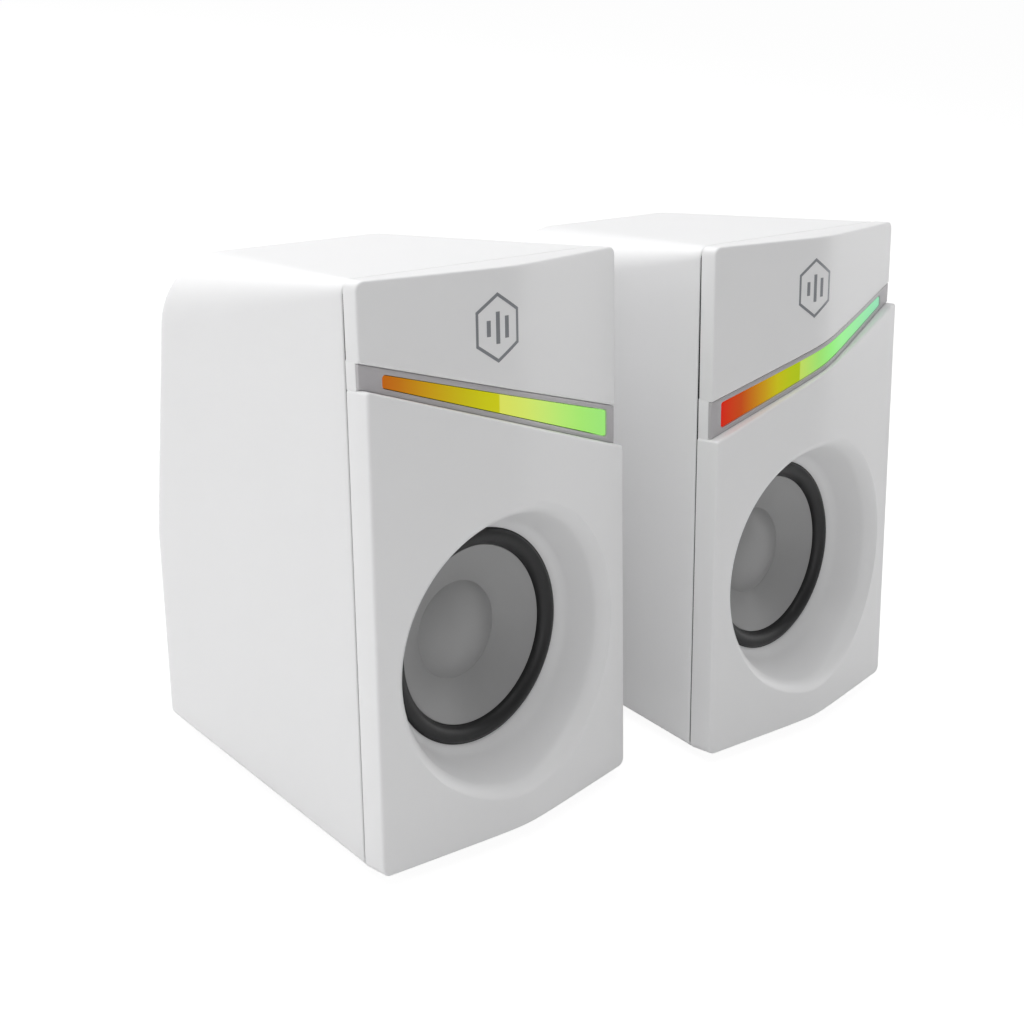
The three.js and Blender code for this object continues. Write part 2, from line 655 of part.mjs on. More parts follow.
function makeKnob() {
  const foot = plateFace + KNOB_STAND_OFF;
  const top = foot + KNOB_HEIGHT;
  const cap = turned([
    [0, plateBack - POT_DEPTH + 2],
    [STEM_RADIUS, plateBack - POT_DEPTH + 2],
    [STEM_RADIUS, foot],
    [KNOB_RADIUS, foot],
    [KNOB_RADIUS - 0.5, top - 1],
    [KNOB_RADIUS - 1.5, top],
    [0, top],
  ], knobPlace.x, knobPlace.z);
  return cap.subtract(block(KNOB_TURN_MARK, 1, 4.5, knobPlace.x, top, knobPlace.z + KNOB_RADIUS - 4.5));
}

function makePotentiometer() {
  const body = block(POT_SIZE, POT_DEPTH, POT_SIZE, knobPlace.x, plateBack - GAP - POT_DEPTH / 2, knobPlace.z);
  return body.subtract(rod(STEM_RADIUS + GAP, plateBack - POT_DEPTH + 1.5, plateBack + 1, knobPlace.x, knobPlace.z));
}

function makeButton() {
  const top = plateFace + BUTTON_PROUD;
  return turned([
    [0, top - BUTTON_LENGTH],
    [BUTTON_RADIUS, top - BUTTON_LENGTH],
    [BUTTON_RADIUS, top - 0.4],
    [BUTTON_RADIUS - 0.5, top],
    [0, top],
  ], buttonPlace.x, buttonPlace.z, SMALL_ROUND);
}

function makeAmpBoard() {
  const rear = plateBack - BOARD_SPACE + CASE_WALL;
  const middle = REAR_PLATE_FOOT + REAR_PLATE_HEIGHT / 2;
  let board = block(BOARD_WIDTH, BOARD_THICKNESS, REAR_PLATE_HEIGHT, 0, rear - BOARD_THICKNESS / 2, middle);
  const front = rear - BOARD_THICKNESS;
  for (const [width, depth, height, x, z] of [[9, 9, 18, -22, 6], [10, 5, 10, 2, -6], [6, 7, 6, 18, 8], [6, 7, 6, 18, -4]]) {
    board = board.add(block(width, depth + 1, height, x, front - depth / 2 + 0.5, middle + z));
  }
  return board;
}

// One speaker, named by its place; its outer side is side * X.
function makeSpeaker(name, side, active) {
  const speaker = new THREE.Group();
  const leaning = new THREE.Group();
  leaning.rotation.x = -lean;
  leaning.position.z = FOOT_HEIGHT;
  speaker.add(leaning);
  const put = (piece, solid, material) => leaning.add(mesh(`${name}_${piece}`, solid, material));

  put("cabinet", makeCase(), whitePlastic());
  put("front_panel", makeFrontPanel(side), whitePlastic());
  put("panel_gasket", makeGasket(), blackFoam());
  put("light_trim", makeTrim(side), greyTrim());
  put("light_bar", makeLightBar(side), lightGuide());
  put("led_board", makeLedBoard(side), circuitBoard());
  put("surround", makeSurround(), blackRubber());
  put("cone", makeCone(), conePaper());
  put("dust_cap", makeDustCap(), conePaper());
  put("voice_coil", makeVoiceCoil(), copperCoil());
  put("spider", makeSpider(), spiderCloth());
  put("basket", makeBasket(), pressedSteel());
  put("top_plate", makeTopPlate(), zincSteel());
  put("magnet", makeMagnet(), ferrite());
  put("yoke", makeYoke(), zincSteel());
  put("bass_port", makePort(), blackPlastic());
  put("rear_plate", makeRearPlate(active), blackPlastic());
  postPlaces.forEach((place, i) => put(`case_screw_${i + 1}`, makeCaseScrew(place), zincSteel()));
  if (active) {
    put("amp_board", makeAmpBoard(), circuitBoard());
    put("potentiometer", makePotentiometer(), zincSteel());
    put("volume_knob", makeKnob(), blackPlastic());
    put("light_button", makeButton(), blackPlastic());
    put("audio_jack", makeJack(audioPlace), blackPlastic());
    put("link_jack", makeJack(linkPlace), blackPlastic());
    put("power_socket", makePowerSocket(), zincSteel());
  } else {
    put("link_jack", makeJack(passivePlace), blackPlastic());
  }

  const rearLine = CASE_DEPTH / Math.cos(lean) - FOOT_INSET;
  const footPlaces = [-1, 1].flatMap((end) => [FOOT_INSET, rearLine].map((y) => [end * (halfWidth(0) - FOOT_INSET), y]));
  footPlaces.forEach(([x, y], i) => {
    const foot = rod(FOOT_RADIUS, 0, FOOT_HEIGHT - GAP, 0, 0, SMALL_ROUND).rotate([90, 0, 0]).translate([x, y, 0]);
    speaker.add(mesh(`${name}_foot_${i + 1}`, foot, blackRubber()));
  });
  return speaker;
}

const left = makeSpeaker("left", -1, false);
const right = makeSpeaker("right", 1, true);
left.position.x = -PAIR_SPACING / 2;
right.position.set(PAIR_SPACING / 2, -RIGHT_FORWARD, 0);

// The pair stands with the middle of its box over the origin.
const pair = new THREE.Group();
pair.add(left, right);
pair.updateMatrixWorld(true);
const box = new THREE.Box3().setFromObject(pair, true);
pair.position.set(-(box.min.x + box.max.x) / 2, -(box.min.y + box.max.y) / 2, 0);

const speakers = new THREE.Group();
speakers.add(pair);

export default speakers;
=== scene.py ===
import math

import bmesh
import bpy
from mathutils import Matrix, Vector


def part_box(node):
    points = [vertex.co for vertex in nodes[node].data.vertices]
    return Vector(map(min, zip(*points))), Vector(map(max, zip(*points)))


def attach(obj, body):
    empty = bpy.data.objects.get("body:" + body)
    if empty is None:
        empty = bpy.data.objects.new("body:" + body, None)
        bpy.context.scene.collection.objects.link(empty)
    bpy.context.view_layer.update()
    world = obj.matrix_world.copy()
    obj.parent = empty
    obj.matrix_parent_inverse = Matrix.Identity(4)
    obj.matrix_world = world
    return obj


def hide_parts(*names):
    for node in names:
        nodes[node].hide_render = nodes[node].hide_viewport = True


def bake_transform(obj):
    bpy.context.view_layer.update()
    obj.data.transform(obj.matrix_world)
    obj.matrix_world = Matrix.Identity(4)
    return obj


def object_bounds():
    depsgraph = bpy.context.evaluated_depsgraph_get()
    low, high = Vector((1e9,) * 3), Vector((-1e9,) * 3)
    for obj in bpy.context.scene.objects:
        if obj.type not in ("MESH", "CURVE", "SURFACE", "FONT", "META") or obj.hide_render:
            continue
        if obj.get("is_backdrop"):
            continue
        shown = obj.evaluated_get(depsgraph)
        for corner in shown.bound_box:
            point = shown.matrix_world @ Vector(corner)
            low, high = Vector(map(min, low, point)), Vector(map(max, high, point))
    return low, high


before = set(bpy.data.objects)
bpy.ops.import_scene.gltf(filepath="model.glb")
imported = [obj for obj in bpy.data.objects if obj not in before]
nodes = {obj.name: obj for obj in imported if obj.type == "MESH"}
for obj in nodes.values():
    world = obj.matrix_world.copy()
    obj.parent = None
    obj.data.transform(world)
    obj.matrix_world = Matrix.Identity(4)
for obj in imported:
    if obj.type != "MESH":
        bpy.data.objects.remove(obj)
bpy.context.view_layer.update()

SPEAKERS = ("left", "right")

# The two speakers stand on a desk. Each is drawn in the frame of its own front panel, in millimetres:
# X across, Y from the seam into the case, Z up the panel, and the panel leans back.
LEAN = math.radians(10)
FOOT_HEIGHT = 2.0
FOOT_INSET = 13.0
outer_side = {"left": -1, "right": 1}
seam_foot = {}
place = {}
for speaker in SPEAKERS:
    low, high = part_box(speaker + "_cabinet")
    foot_low, foot_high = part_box(speaker + "_foot_1")
    seam_y = (foot_low.y + foot_high.y) / 2 - FOOT_INSET / 1000
    seam_foot[speaker] = Vector(((low.x + high.x) / 2, seam_y, FOOT_HEIGHT / 1000))
    turn = Matrix.Rotation(-LEAN, 4, "X")
    place[speaker] = Matrix.Translation(seam_foot[speaker]) @ turn @ Matrix.Scale(0.001, 4)

# The camera stands at the left and a little above, tilted a few degrees. Its lens is given as a share of
# the picture's width, and its place from the foot of the left panel.
YAW = 0.8201
PITCH = 0.4046
ROLL = -0.1146
FOCAL_SHARE = 1535.1 / 1024
CAMERA_FROM_LEFT_SEAM = Vector((-0.28140, -0.25656, 0.25789))
ahead = Vector((math.sin(YAW) * math.cos(PITCH), math.cos(YAW) * math.cos(PITCH), -math.sin(PITCH)))
level = Vector((math.cos(YAW), -math.sin(YAW), 0))
down = ahead.cross(level)
right_hand = math.cos(ROLL) * level + math.sin(ROLL) * down
downward = -math.sin(ROLL) * level + math.cos(ROLL) * down
lens = bpy.data.cameras.new("camera")
lens.sensor_width = 36
lens.lens = FOCAL_SHARE * 36
lens.clip_start = 0.01
lens.clip_end = 50
camera = bpy.data.objects.new("camera", lens)
bpy.context.scene.collection.objects.link(camera)
turned = Matrix((right_hand, -downward, -ahead)).transposed().to_4x4()
camera.matrix_world = Matrix.Translation(seam_foot["left"] + CAMERA_FROM_LEFT_SEAM) @ turned
bpy.context.scene.camera = camera
bpy.context.scene.view_settings.view_transform = "Standard"

# A white studio: pale light from all round, and broad lamps overhead, behind, in front and at each side.
# To the camera itself the room is plain white.
world = bpy.data.worlds.new("studio")
bpy.context.scene.world = world
world.use_nodes = True
sky = world.node_tree.nodes
sky_links = world.node_tree.links
room = sky["Background"]
room.inputs["Color"].default_value = (1, 1, 1, 1)
facing = sky.new("ShaderNodeTexCoord")
split = sky.new("ShaderNodeSeparateXYZ")
fade = sky.new("ShaderNodeMapRange")
fade.inputs["From Min"].default_value = -1
fade.inputs["To Min"].default_value = 0.16
fade.inputs["To Max"].default_value = 0.61
sky_links.new(facing.outputs["Generated"], split.inputs["Vector"])
sky_links.new(split.outputs["Y"], fade.inputs["Value"])
sky_links.new(fade.outputs["Result"], room.inputs["Strength"])
seen = sky.new("ShaderNodeBackground")
seen.inputs["Color"].default_value = (1, 1, 1, 1)
seen.inputs["Strength"].default_value = 1.0
path = sky.new("ShaderNodeLightPath")
either = sky.new("ShaderNodeMixShader")
sky_links.new(path.outputs["Is Camera Ray"], either.inputs["Fac"])
sky_links.new(room.outputs["Background"], either.inputs[1])
sky_links.new(seen.outputs["Background"], either.inputs[2])
sky_links.new(either.outputs["Shader"], sky["World Output"].inputs["Surface"])

LAMPS = {
    "lamp_over": {"at": (-0.10, 0.25, 1.10), "aim": (0, 0, 0.1), "size": (1.2, 1.2), "watts": 8.0},
    "lamp_left": {"at": (-1.20, 0.45, 0.55), "aim": (0, 0, 0.1), "size": (1.0, 1.0), "watts": 2.6},
    "lamp_right": {"at": (1.25, -0.50, 0.40), "aim": (0, 0, 0.1), "size": (0.9, 0.9), "watts": 4.0},
    "lamp_front": {"at": (-0.85, -0.95, 0.35), "aim": (0, 0, 0.1), "size": (0.9, 0.9), "watts": 2.3},
    "lamp_behind": {"at": (0.0, 1.30, 0.90), "aim": (0, 0, 0.1), "size": (1.0, 1.0), "watts": 5.0},
}
for name, lamp in LAMPS.items():
    light = bpy.data.lights.new(name, "AREA")
    light.shape = "RECTANGLE"
    light.size, light.size_y = lamp["size"]
    light.energy = lamp["watts"]
    stand = bpy.data.objects.new(name, light)
    stand.location = lamp["at"]
    aim = Vector(lamp["aim"]) - Vector(lamp["at"])
    stand.rotation_euler = aim.to_track_quat("-Z", "Y").to_euler()
    bpy.context.scene.collection.objects.link(stand)


# The desk is a plain white sheet that takes only a faint shadow. It is matt, and to the camera it glows a
# little so that it stays nearly white.
def plain_shader(name):
    made = bpy.data.materials.new(name)
    made.use_nodes = True
    return made, made.node_tree.nodes, made.node_tree.links, made.node_tree.nodes["Principled BSDF"]


sheet = bmesh.new()
bmesh.ops.create_grid(sheet, x_segments=8, y_segments=8, size=6)
desk_mesh = bpy.data.meshes.new("desk")
sheet.to_mesh(desk_mesh)
sheet.free()
desk = bpy.data.objects.new("desk", desk_mesh)
bpy.context.scene.collection.objects.link(desk)
desk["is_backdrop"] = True
desk_white, desk_nodes, desk_links, desk_surface = plain_shader("desk_white")
desk_surface.inputs["Base Color"].default_value = (0.85, 0.85, 0.85, 1)
desk_surface.inputs["Roughness"].default_value = 0.9
desk_surface.inputs["Specular IOR Level"].default_value = 0.0
glow = desk_nodes.new("ShaderNodeEmission")
glow.inputs["Strength"].default_value = 0.92
faint = desk_nodes.new("ShaderNodeBsdfDiffuse")
faint.inputs["Color"].default_value = (0.16, 0.16, 0.16, 1)
lit = desk_nodes.new("ShaderNodeAddShader")
desk_path = desk_nodes.new("ShaderNodeLightPath")
desk_either = desk_nodes.new("ShaderNodeMixShader")
desk_links.new(glow.outputs["Emission"], lit.inputs[0])
desk_links.new(faint.outputs["BSDF"], lit.inputs[1])
desk_links.new(desk_path.outputs["Is Camera Ray"], desk_either.inputs["Fac"])
desk_links.new(desk_surface.outputs["BSDF"], desk_either.inputs[1])
desk_links.new(lit.outputs["Shader"], desk_either.inputs[2])
desk_links.new(desk_either.outputs["Shader"], desk_nodes["Material Output"].inputs["Surface"])
desk_mesh.materials.append(desk_white)

# The cases are injection-moulded white plastic, one hollow shell each, open at the front. The top's side
# edges grow rounder towards the rear, the underside lies level and the rear slopes forwards above a bend.
CASE_HEIGHT = 160.0
CASE_TOP_WIDTH = 94.4
CASE_FLARE = 1.6
CASE_DEPTH = 96.0
CASE_WALL = 2.8
REAR_BEND_HEIGHT = 76.0
REAR_SLOPE = math.radians(9)
REAR_ROUND = 5.0
TOP_ROUND_FRONT = 4.0
TOP_ROUND_REAR = 19.0
BOTTOM_ROUND = 3.0
RIM_ROUND = 0.45
BEND_SOFTNESS = 5.0
HOLD = 1.5
SIDE_LEVELS = (40, 56, 64, 69, 73, 76, 79, 83, 88, 100, 118)
PLASTIC_WHITE = (0.86, 0.86, 0.865, 1)


def half_width(z):
    return CASE_TOP_WIDTH / 2 + CASE_FLARE * (1 - z / CASE_HEIGHT)


def rear_depth(z):
    over = z - REAR_BEND_HEIGHT
    soft = (over + math.hypot(over, BEND_SOFTNESS)) / 2 - BEND_SOFTNESS / 2
    return CASE_DEPTH - max(0.0, soft) * math.tan(REAR_SLOPE)


def moulded_grain():
    """The fine sparkle of a moulded surface: a shallow bump, and slight changes of shade and gloss."""
    group = bpy.data.node_groups.new("moulded_grain", "ShaderNodeTree")
    for label, kind, value in (("Color", "NodeSocketColor", (0.8, 0.8, 0.8, 1)),
                               ("Roughness", "NodeSocketFloat", 0.4),
                               ("Grain Scale", "NodeSocketFloat", 2600.0),
                               ("Grain Depth", "NodeSocketFloat", 0.05),
                               ("Shade Change", "NodeSocketFloat", 0.03)):
        socket = group.interface.new_socket(label, in_out="INPUT", socket_type=kind)
        socket.default_value = value
    group.interface.new_socket("Color", in_out="OUTPUT", socket_type="NodeSocketColor")
    group.interface.new_socket("Roughness", in_out="OUTPUT", socket_type="NodeSocketFloat")
    group.interface.new_socket("Normal", in_out="OUTPUT", socket_type="NodeSocketVector")
    made = group.nodes
    link = group.links.new
    given = made.new("NodeGroupInput")
    result = made.new("NodeGroupOutput")
    where = made.new("ShaderNodeTexCoord")
    fine = made.new("ShaderNodeTexNoise")
    fine.inputs["Detail"].default_value = 3
    link(where.outputs["Object"], fine.inputs["Vector"])
    link(given.outputs["Grain Scale"], fine.inputs["Scale"])
    bump = made.new("ShaderNodeBump")
    bump.inputs["Distance"].default_value = 0.0004
    link(given.outputs["Grain Depth"], bump.inputs["Strength"])
    link(fine.outputs["Fac"], bump.inputs["Height"])
    link(bump.outputs["Normal"], result.inputs["Normal"])
    broad = made.new("ShaderNodeTexNoise")
    broad.inputs["Scale"].default_value = 26
    broad.inputs["Detail"].default_value = 4
    link(where.outputs["Object"], broad.inputs["Vector"])
    darker = made.new("ShaderNodeMath")
    darker.operation = "MULTIPLY"
    link(broad.outputs["Fac"], darker.inputs[0])
    link(given.outputs["Shade Change"], darker.inputs[1])
    keep = made.new("ShaderNodeMath")
    keep.operation = "SUBTRACT"
    keep.inputs[0].default_value = 1.0
    link(darker.outputs["Value"], keep.inputs[1])
    shade = made.new("ShaderNodeVectorMath")
    shade.operation = "SCALE"
    link(given.outputs["Color"], shade.inputs[0])
    link(keep.outputs["Value"], shade.inputs["Scale"])
    link(shade.outputs["Vector"], result.inputs["Color"])
    gloss = made.new("ShaderNodeMapRange")
    gloss.inputs["To Min"].default_value = -0.05
    gloss.inputs["To Max"].default_value = 0.05
    link(fine.outputs["Fac"], gloss.inputs["Value"])
    total = made.new("ShaderNodeMath")
    total.operation = "ADD"
    link(given.outputs["Roughness"], total.inputs[0])
    link(gloss.outputs["Result"], total.inputs[1])
    link(total.outputs["Value"], result.inputs["Roughness"])
    return group


grain_group = moulded_grain()


def grained(name, color, roughness, scale, depth, shade):
    """A material whose colour, gloss and surface all come through the moulded grain."""
    material, parts, links, surface = plain_shader(name)
    grain = parts.new("ShaderNodeGroup")
    grain.node_tree = grain_group
    grain.inputs["Color"].default_value = color
    grain.inputs["Roughness"].default_value = roughness
    grain.inputs["Grain Scale"].default_value = scale
    grain.inputs["Grain Depth"].default_value = depth
    grain.inputs["Shade Change"].default_value = shade
    links.new(grain.outputs["Color"], surface.inputs["Base Color"])
    links.new(grain.outputs["Roughness"], surface.inputs["Roughness"])
    links.new(grain.outputs["Normal"], surface.inputs["Normal"])
    return material, parts, links, surface


def first_ring(form, points):
    """A closed ring of edges through the points."""
    ring = bmesh.ops.create_circle(form, segments=len(points), radius=1)["verts"]
    for vertex, point in zip(ring, points):
        vertex.co = point
    return ring


def next_ring(form, ring, points):
    """Extrudes a ring and moves the new edge loop to the points."""
    count = len(ring)
    edges = [form.edges.get((ring[i], ring[(i + 1) % count])) for i in range(count)]
    made = bmesh.ops.extrude_edge_only(form, edges=edges)["geom"]
    fresh = {v for v in made if isinstance(v, bmesh.types.BMVert)}
    above = [next(e.other_vert(v) for e in v.link_edges if e.other_vert(v) in fresh) for v in ring]
    for vertex, point in zip(above, points):
        vertex.co = point
    return above


def loft(form, rings):
    """Runs a skin through a series of rings and gives back the first and the last."""
    first = ring = first_ring(form, rings[0])
    for points in rings[1:]:
        ring = next_ring(form, ring, points)
    return first, ring


def join_rings(form, a, b):
    """Closes the gap between two rings whose points match."""
    count = len(a)
    for i in range(count):
        j = (i + 1) % count
        form.faces.new((a[i], a[j], b[j], b[i]))


def outward(form):
    bmesh.ops.remove_doubles(form, verts=form.verts, dist=0.0004)
    bmesh.ops.dissolve_degenerate(form, edges=form.edges, dist=0.0002)
    bmesh.ops.recalc_face_normals(form, faces=form.faces)


def finished(form, name, speaker, material, sharp=32.0):
    """Makes a bmesh drawn in a speaker's panel frame into an object that sits at the origin."""
    outward(form)
    limit = math.radians(sharp)
    for face in form.faces:
        face.smooth = True
    for edge in form.edges:
        edge.smooth = len(edge.link_faces) == 2 and edge.calc_face_angle(0) < limit
    if speaker:
        bmesh.ops.transform(form, matrix=place[speaker], verts=form.verts)
    skin = bpy.data.meshes.new(name)
    form.to_mesh(skin)
    form.free()
    skin.materials.append(material)
    piece = bpy.data.objects.new(name, skin)
    bpy.context.scene.collection.objects.link(piece)
    return piece


def case_ring(share, inset, back=0.0, y=None):
    """One section of the case: share 0 is the front edge and 1 the rear, inset all round."""
    foot = share * CASE_DEPTH * math.tan(LEAN) + inset
    top = CASE_HEIGHT - inset
    low_round = max(BOTTOM_ROUND - inset, 0.5)
    high_round = max(TOP_ROUND_FRONT + (TOP_ROUND_REAR - TOP_ROUND_FRONT) * share - inset, 0.8)
    half = [(0.0, foot), (20.0, foot), (half_width(foot) - inset - low_round - HOLD, foot)]
    for step in range(7):
        angle = math.radians(-90 + 15 * step)
        z = foot + low_round + low_round * math.sin(angle)
        half.append((half_width(z) - inset - low_round + low_round * math.cos(angle), z))
    heights = (foot + low_round + HOLD, *SIDE_LEVELS, top - high_round - HOLD)
    half += [(half_width(z) - inset, z) for z in heights]
    for step in range(13):
        angle = math.radians(7.5 * step)
        z = top - high_round + high_round * math.sin(angle)
        half.append((half_width(z) - inset - high_round + high_round * math.cos(angle), z))
    half += [(half_width(top) - inset - high_round - HOLD, top), (10.0, top), (0.0, top)]
    whole = half + [(-x, z) for x, z in reversed(half[1:-1])]
    if y is not None:
        return [Vector((x, y, z)) for x, z in whole]
    return [Vector((x, share * (rear_depth(z) - back), z)) for x, z in whole]


def hollow_shell():
    """The case's skin from its inner rear wall forwards, round the rim and back to the outer rear wall."""
    form = bmesh.new()
    rings = [case_ring(1.0, CASE_WALL + 4, CASE_WALL)]
    rings += [case_ring(share, CASE_WALL, CASE_WALL) for share in (0.985, 0.7, 0.4, 0.1)]
    rings.append(case_ring(0.0, CASE_WALL, y=0.0))
    for angle in (90, 60, 30, 0):
        a = math.radians(angle)
        rings.append(case_ring(0.0, RIM_ROUND * (1 - math.cos(a)), y=RIM_ROUND * (1 - math.sin(a))))
    rings += [case_ring(share, 0, REAR_ROUND)
              for share in (0.03, 0.12, 0.24, 0.36, 0.48, 0.6, 0.72, 0.84, 0.94)]
    for step in range(9):
        a = math.radians(11.25 * step)
        rings.append(case_ring(1.0, REAR_ROUND * (1 - math.cos(a)), REAR_ROUND * (1 - math.sin(a))))
    rings.append(case_ring(1.0, REAR_ROUND + HOLD))
    inner, outer = loft(form, rings)
    for ring in (inner, outer):
        count = len(ring) // 2
        rising = [ring[i] for i in range(count + 1)]
        falling = [ring[0]] + [ring[-i] for i in range(1, count + 1)]
        for i in range(count):
            corners = []
            for vertex in (rising[i], rising[i + 1], falling[i + 1], falling[i]):
                if vertex not in corners:
                    corners.append(vertex)
            if len(corners) > 2:
                form.faces.new(corners)
    return form


def rod(form, radius, front, rear, x, z, sides=48):
    """A straight round rod along Y."""
    middle = Matrix.Translation((x, (front + rear) / 2, z)) @ Matrix.Rotation(math.pi / 2, 4, "X")
    bmesh.ops.create_cone(form, cap_ends=True, segments=sides, radius1=radius, radius2=radius,
                          depth=rear - front, matrix=middle)


def cut(form, tool, operation="DIFFERENCE"):
    """Cuts one closed bmesh with another, or joins them, and gives back the result."""
    pair = []
    for part in (form, tool):
        bmesh.ops.recalc_face_normals(part, faces=part.faces)
        skin = bpy.data.meshes.new("cutting")
        part.to_mesh(skin)
        part.free()
        pair.append(bpy.data.objects.new("cutting", skin))
        bpy.context.scene.collection.objects.link(pair[-1])
    step = pair[0].modifiers.new("cut", "BOOLEAN")
    step.operation = operation
    step.solver = "EXACT"
    step.object = pair[1]
    shaped = pair[0].evaluated_get(bpy.context.evaluated_depsgraph_get())
    result = bmesh.new()
    result.from_mesh(shaped.to_mesh())
    shaped.to_mesh_clear()
    for used in pair:
        skin = used.data
        bpy.data.objects.remove(used)
        bpy.data.meshes.remove(skin)
    return result


# The screws' posts, the port's hole and the rear plate's opening are moulded into the same shell.
POST_INSET = 11.2
POST_HEIGHTS = (27.0, 146.0)
POST_PAD_RADIUS = 4.8
SCREW_SINK = 2.0
SCREW_HEAD_HEIGHT = 2.0
SCREW_HEAD_RADIUS = 2.8
SCREW_RADIUS = 1.5
PORT_HEIGHT = 118.0
PORT_OUTER = 12.0
PLATE_WIDTH = 52.0
PLATE_FOOT = 31.0
PLATE_HEIGHT = 38.0
PLATE_CORNER = 4.0
FIT = 0.3
post_places = [(side * (half_width(z) - POST_INSET), z) for side in (-1, 1) for z in POST_HEIGHTS]
port_at = Vector((0, rear_depth(PORT_HEIGHT), PORT_HEIGHT))
port_seat = Matrix.Translation(port_at) @ Matrix.Rotation(REAR_SLOPE, 4, "X")


def rounded_slab(form, width, height, corner, x, foot, front, rear, steps=8):
    """An upright slab with rounded corners, from front to rear."""
    ring = []
    left, right = x - width / 2 + corner, x + width / 2 - corner
    low, high = foot + corner, foot + height - corner
    for cx, cz, start in ((right, low, -90), (right, high, 0), (left, high, 90), (left, low, 180)):
        for step in range(steps + 1):
            a = math.radians(start + 90 * step / steps)
            ring.append((cx + corner * math.cos(a), cz + corner * math.sin(a)))
    first, last = loft(form, [[Vector((px, y, pz)) for px, pz in ring] for y in (front, rear)])
    bmesh.ops.contextual_create(form, geom=first)
    bmesh.ops.contextual_create(form, geom=last)


white_shell, _, _, shell_surface = grained("white_shell", PLASTIC_WHITE, 0.42, 2400, 0.06, 0.025)
shell_surface.inputs["Specular IOR Level"].default_value = 0.45
for speaker in SPEAKERS:
    case = hollow_shell()
    outward(case)
    pads = bmesh.new()
    for x, z in post_places:
        seat = rear_depth(z) - CASE_WALL - SCREW_SINK - SCREW_HEAD_HEIGHT
        rod(pads, POST_PAD_RADIUS, seat + FIT, rear_depth(z) - 1.2, x, z)
    case = cut(case, pads, "UNION")
    wells = bmesh.new()
    for x, z in post_places:
        seat = rear_depth(z) - SCREW_SINK - SCREW_HEAD_HEIGHT - FIT
        rod(wells, SCREW_HEAD_RADIUS + FIT, seat, rear_depth(z) + 3, x, z)
        rod(wells, SCREW_RADIUS + FIT, seat - 6, seat - 0.01, x, z, 24)
    case = cut(case, wells)
    hole = bmesh.new()
    rod(hole, PORT_OUTER + FIT, -8, 8, 0, 0, 64)
    bmesh.ops.transform(hole, matrix=port_seat, verts=hole.verts)
    case = cut(case, hole)
    window = bmesh.new()
    rounded_slab(window, PLATE_WIDTH + 2 * FIT, PLATE_HEIGHT + 2 * FIT, PLATE_CORNER + FIT,
                 0, PLATE_FOOT - FIT, CASE_DEPTH - 6, CASE_DEPTH + 2)
    case = cut(case, window)
    cabinet = finished(case, speaker + "_cabinet_shell", speaker, white_shell)
    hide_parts(speaker + "_cabinet")
    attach(cabinet, "cases")

# The front panel is a second white moulding. Its lower part stands proud of the upper part, each has two
# flats that meet in a soft upright bend, and a deep dish leads in to the driver. Four posts run to the rear.
SEAM = 0.5
PANEL_CORNER = 2.5
LOWER_EDGE = 8.3
LOWER_BULGE = 6.3
UPPER_EDGE = 5.2
UPPER_BULGE = 8.3
BEND_SHARPNESS = 0.12
EDGE_ROUND = 0.8
CHANNEL_TOP = {"outer": 140.0, "inner": 113.8}
CHANNEL_FOOT = {"outer": 133.4, "inner": 102.2}
CHANNEL_MIDDLE = 118.0
CHANNEL_CORNER = 0.4
CHANNEL_OVERLAP = 0.6
UPPER_REACH = half_width(150)
DRIVER_HEIGHT = 52.5
THROAT_RADIUS = 32.0
THROAT_DEPTH = 5.3
THROAT_FLARE = 2.6
DISH_REACH = 13.6
MOUTH_ROUND = 2.4
TRIM_SINK = 0.35
TRIM_THICKNESS = 1.1
BAR_MARGIN = 1.9
BAR_OUTER_END = 7.0
BAR_INNER_END = 4.6
BAR_HOLE_CORNER = 0.9
POST_RADIUS = 3.8
POST_FOOT = -2.0


def crown(share):
    full = math.hypot(1, BEND_SHARPNESS) - BEND_SHARPNESS
    return 1 - (math.hypot(share, BEND_SHARPNESS) - BEND_SHARPNESS) / full


def lower_front(x):
    return -LOWER_EDGE - LOWER_BULGE * crown(x / (half_width(0) + 1))


def upper_front(x):
    return -UPPER_EDGE - UPPER_BULGE * crown(x / (half_width(0) + 1))


def channel_edge(side, x, heights):
    share = (1 + side * x / half_width(CHANNEL_TOP["inner"])) / 2
    return heights["inner"] + (heights["outer"] - heights["inner"]) * share


def dish_radius(y):
    u = (THROAT_DEPTH - y) / DISH_REACH
    if u < 0.2:
        return THROAT_RADIUS + THROAT_FLARE * u / 0.2
    return THROAT_RADIUS + THROAT_FLARE + 6.1 * (u - 0.2) - 1.2 * (u - 0.2) ** 2


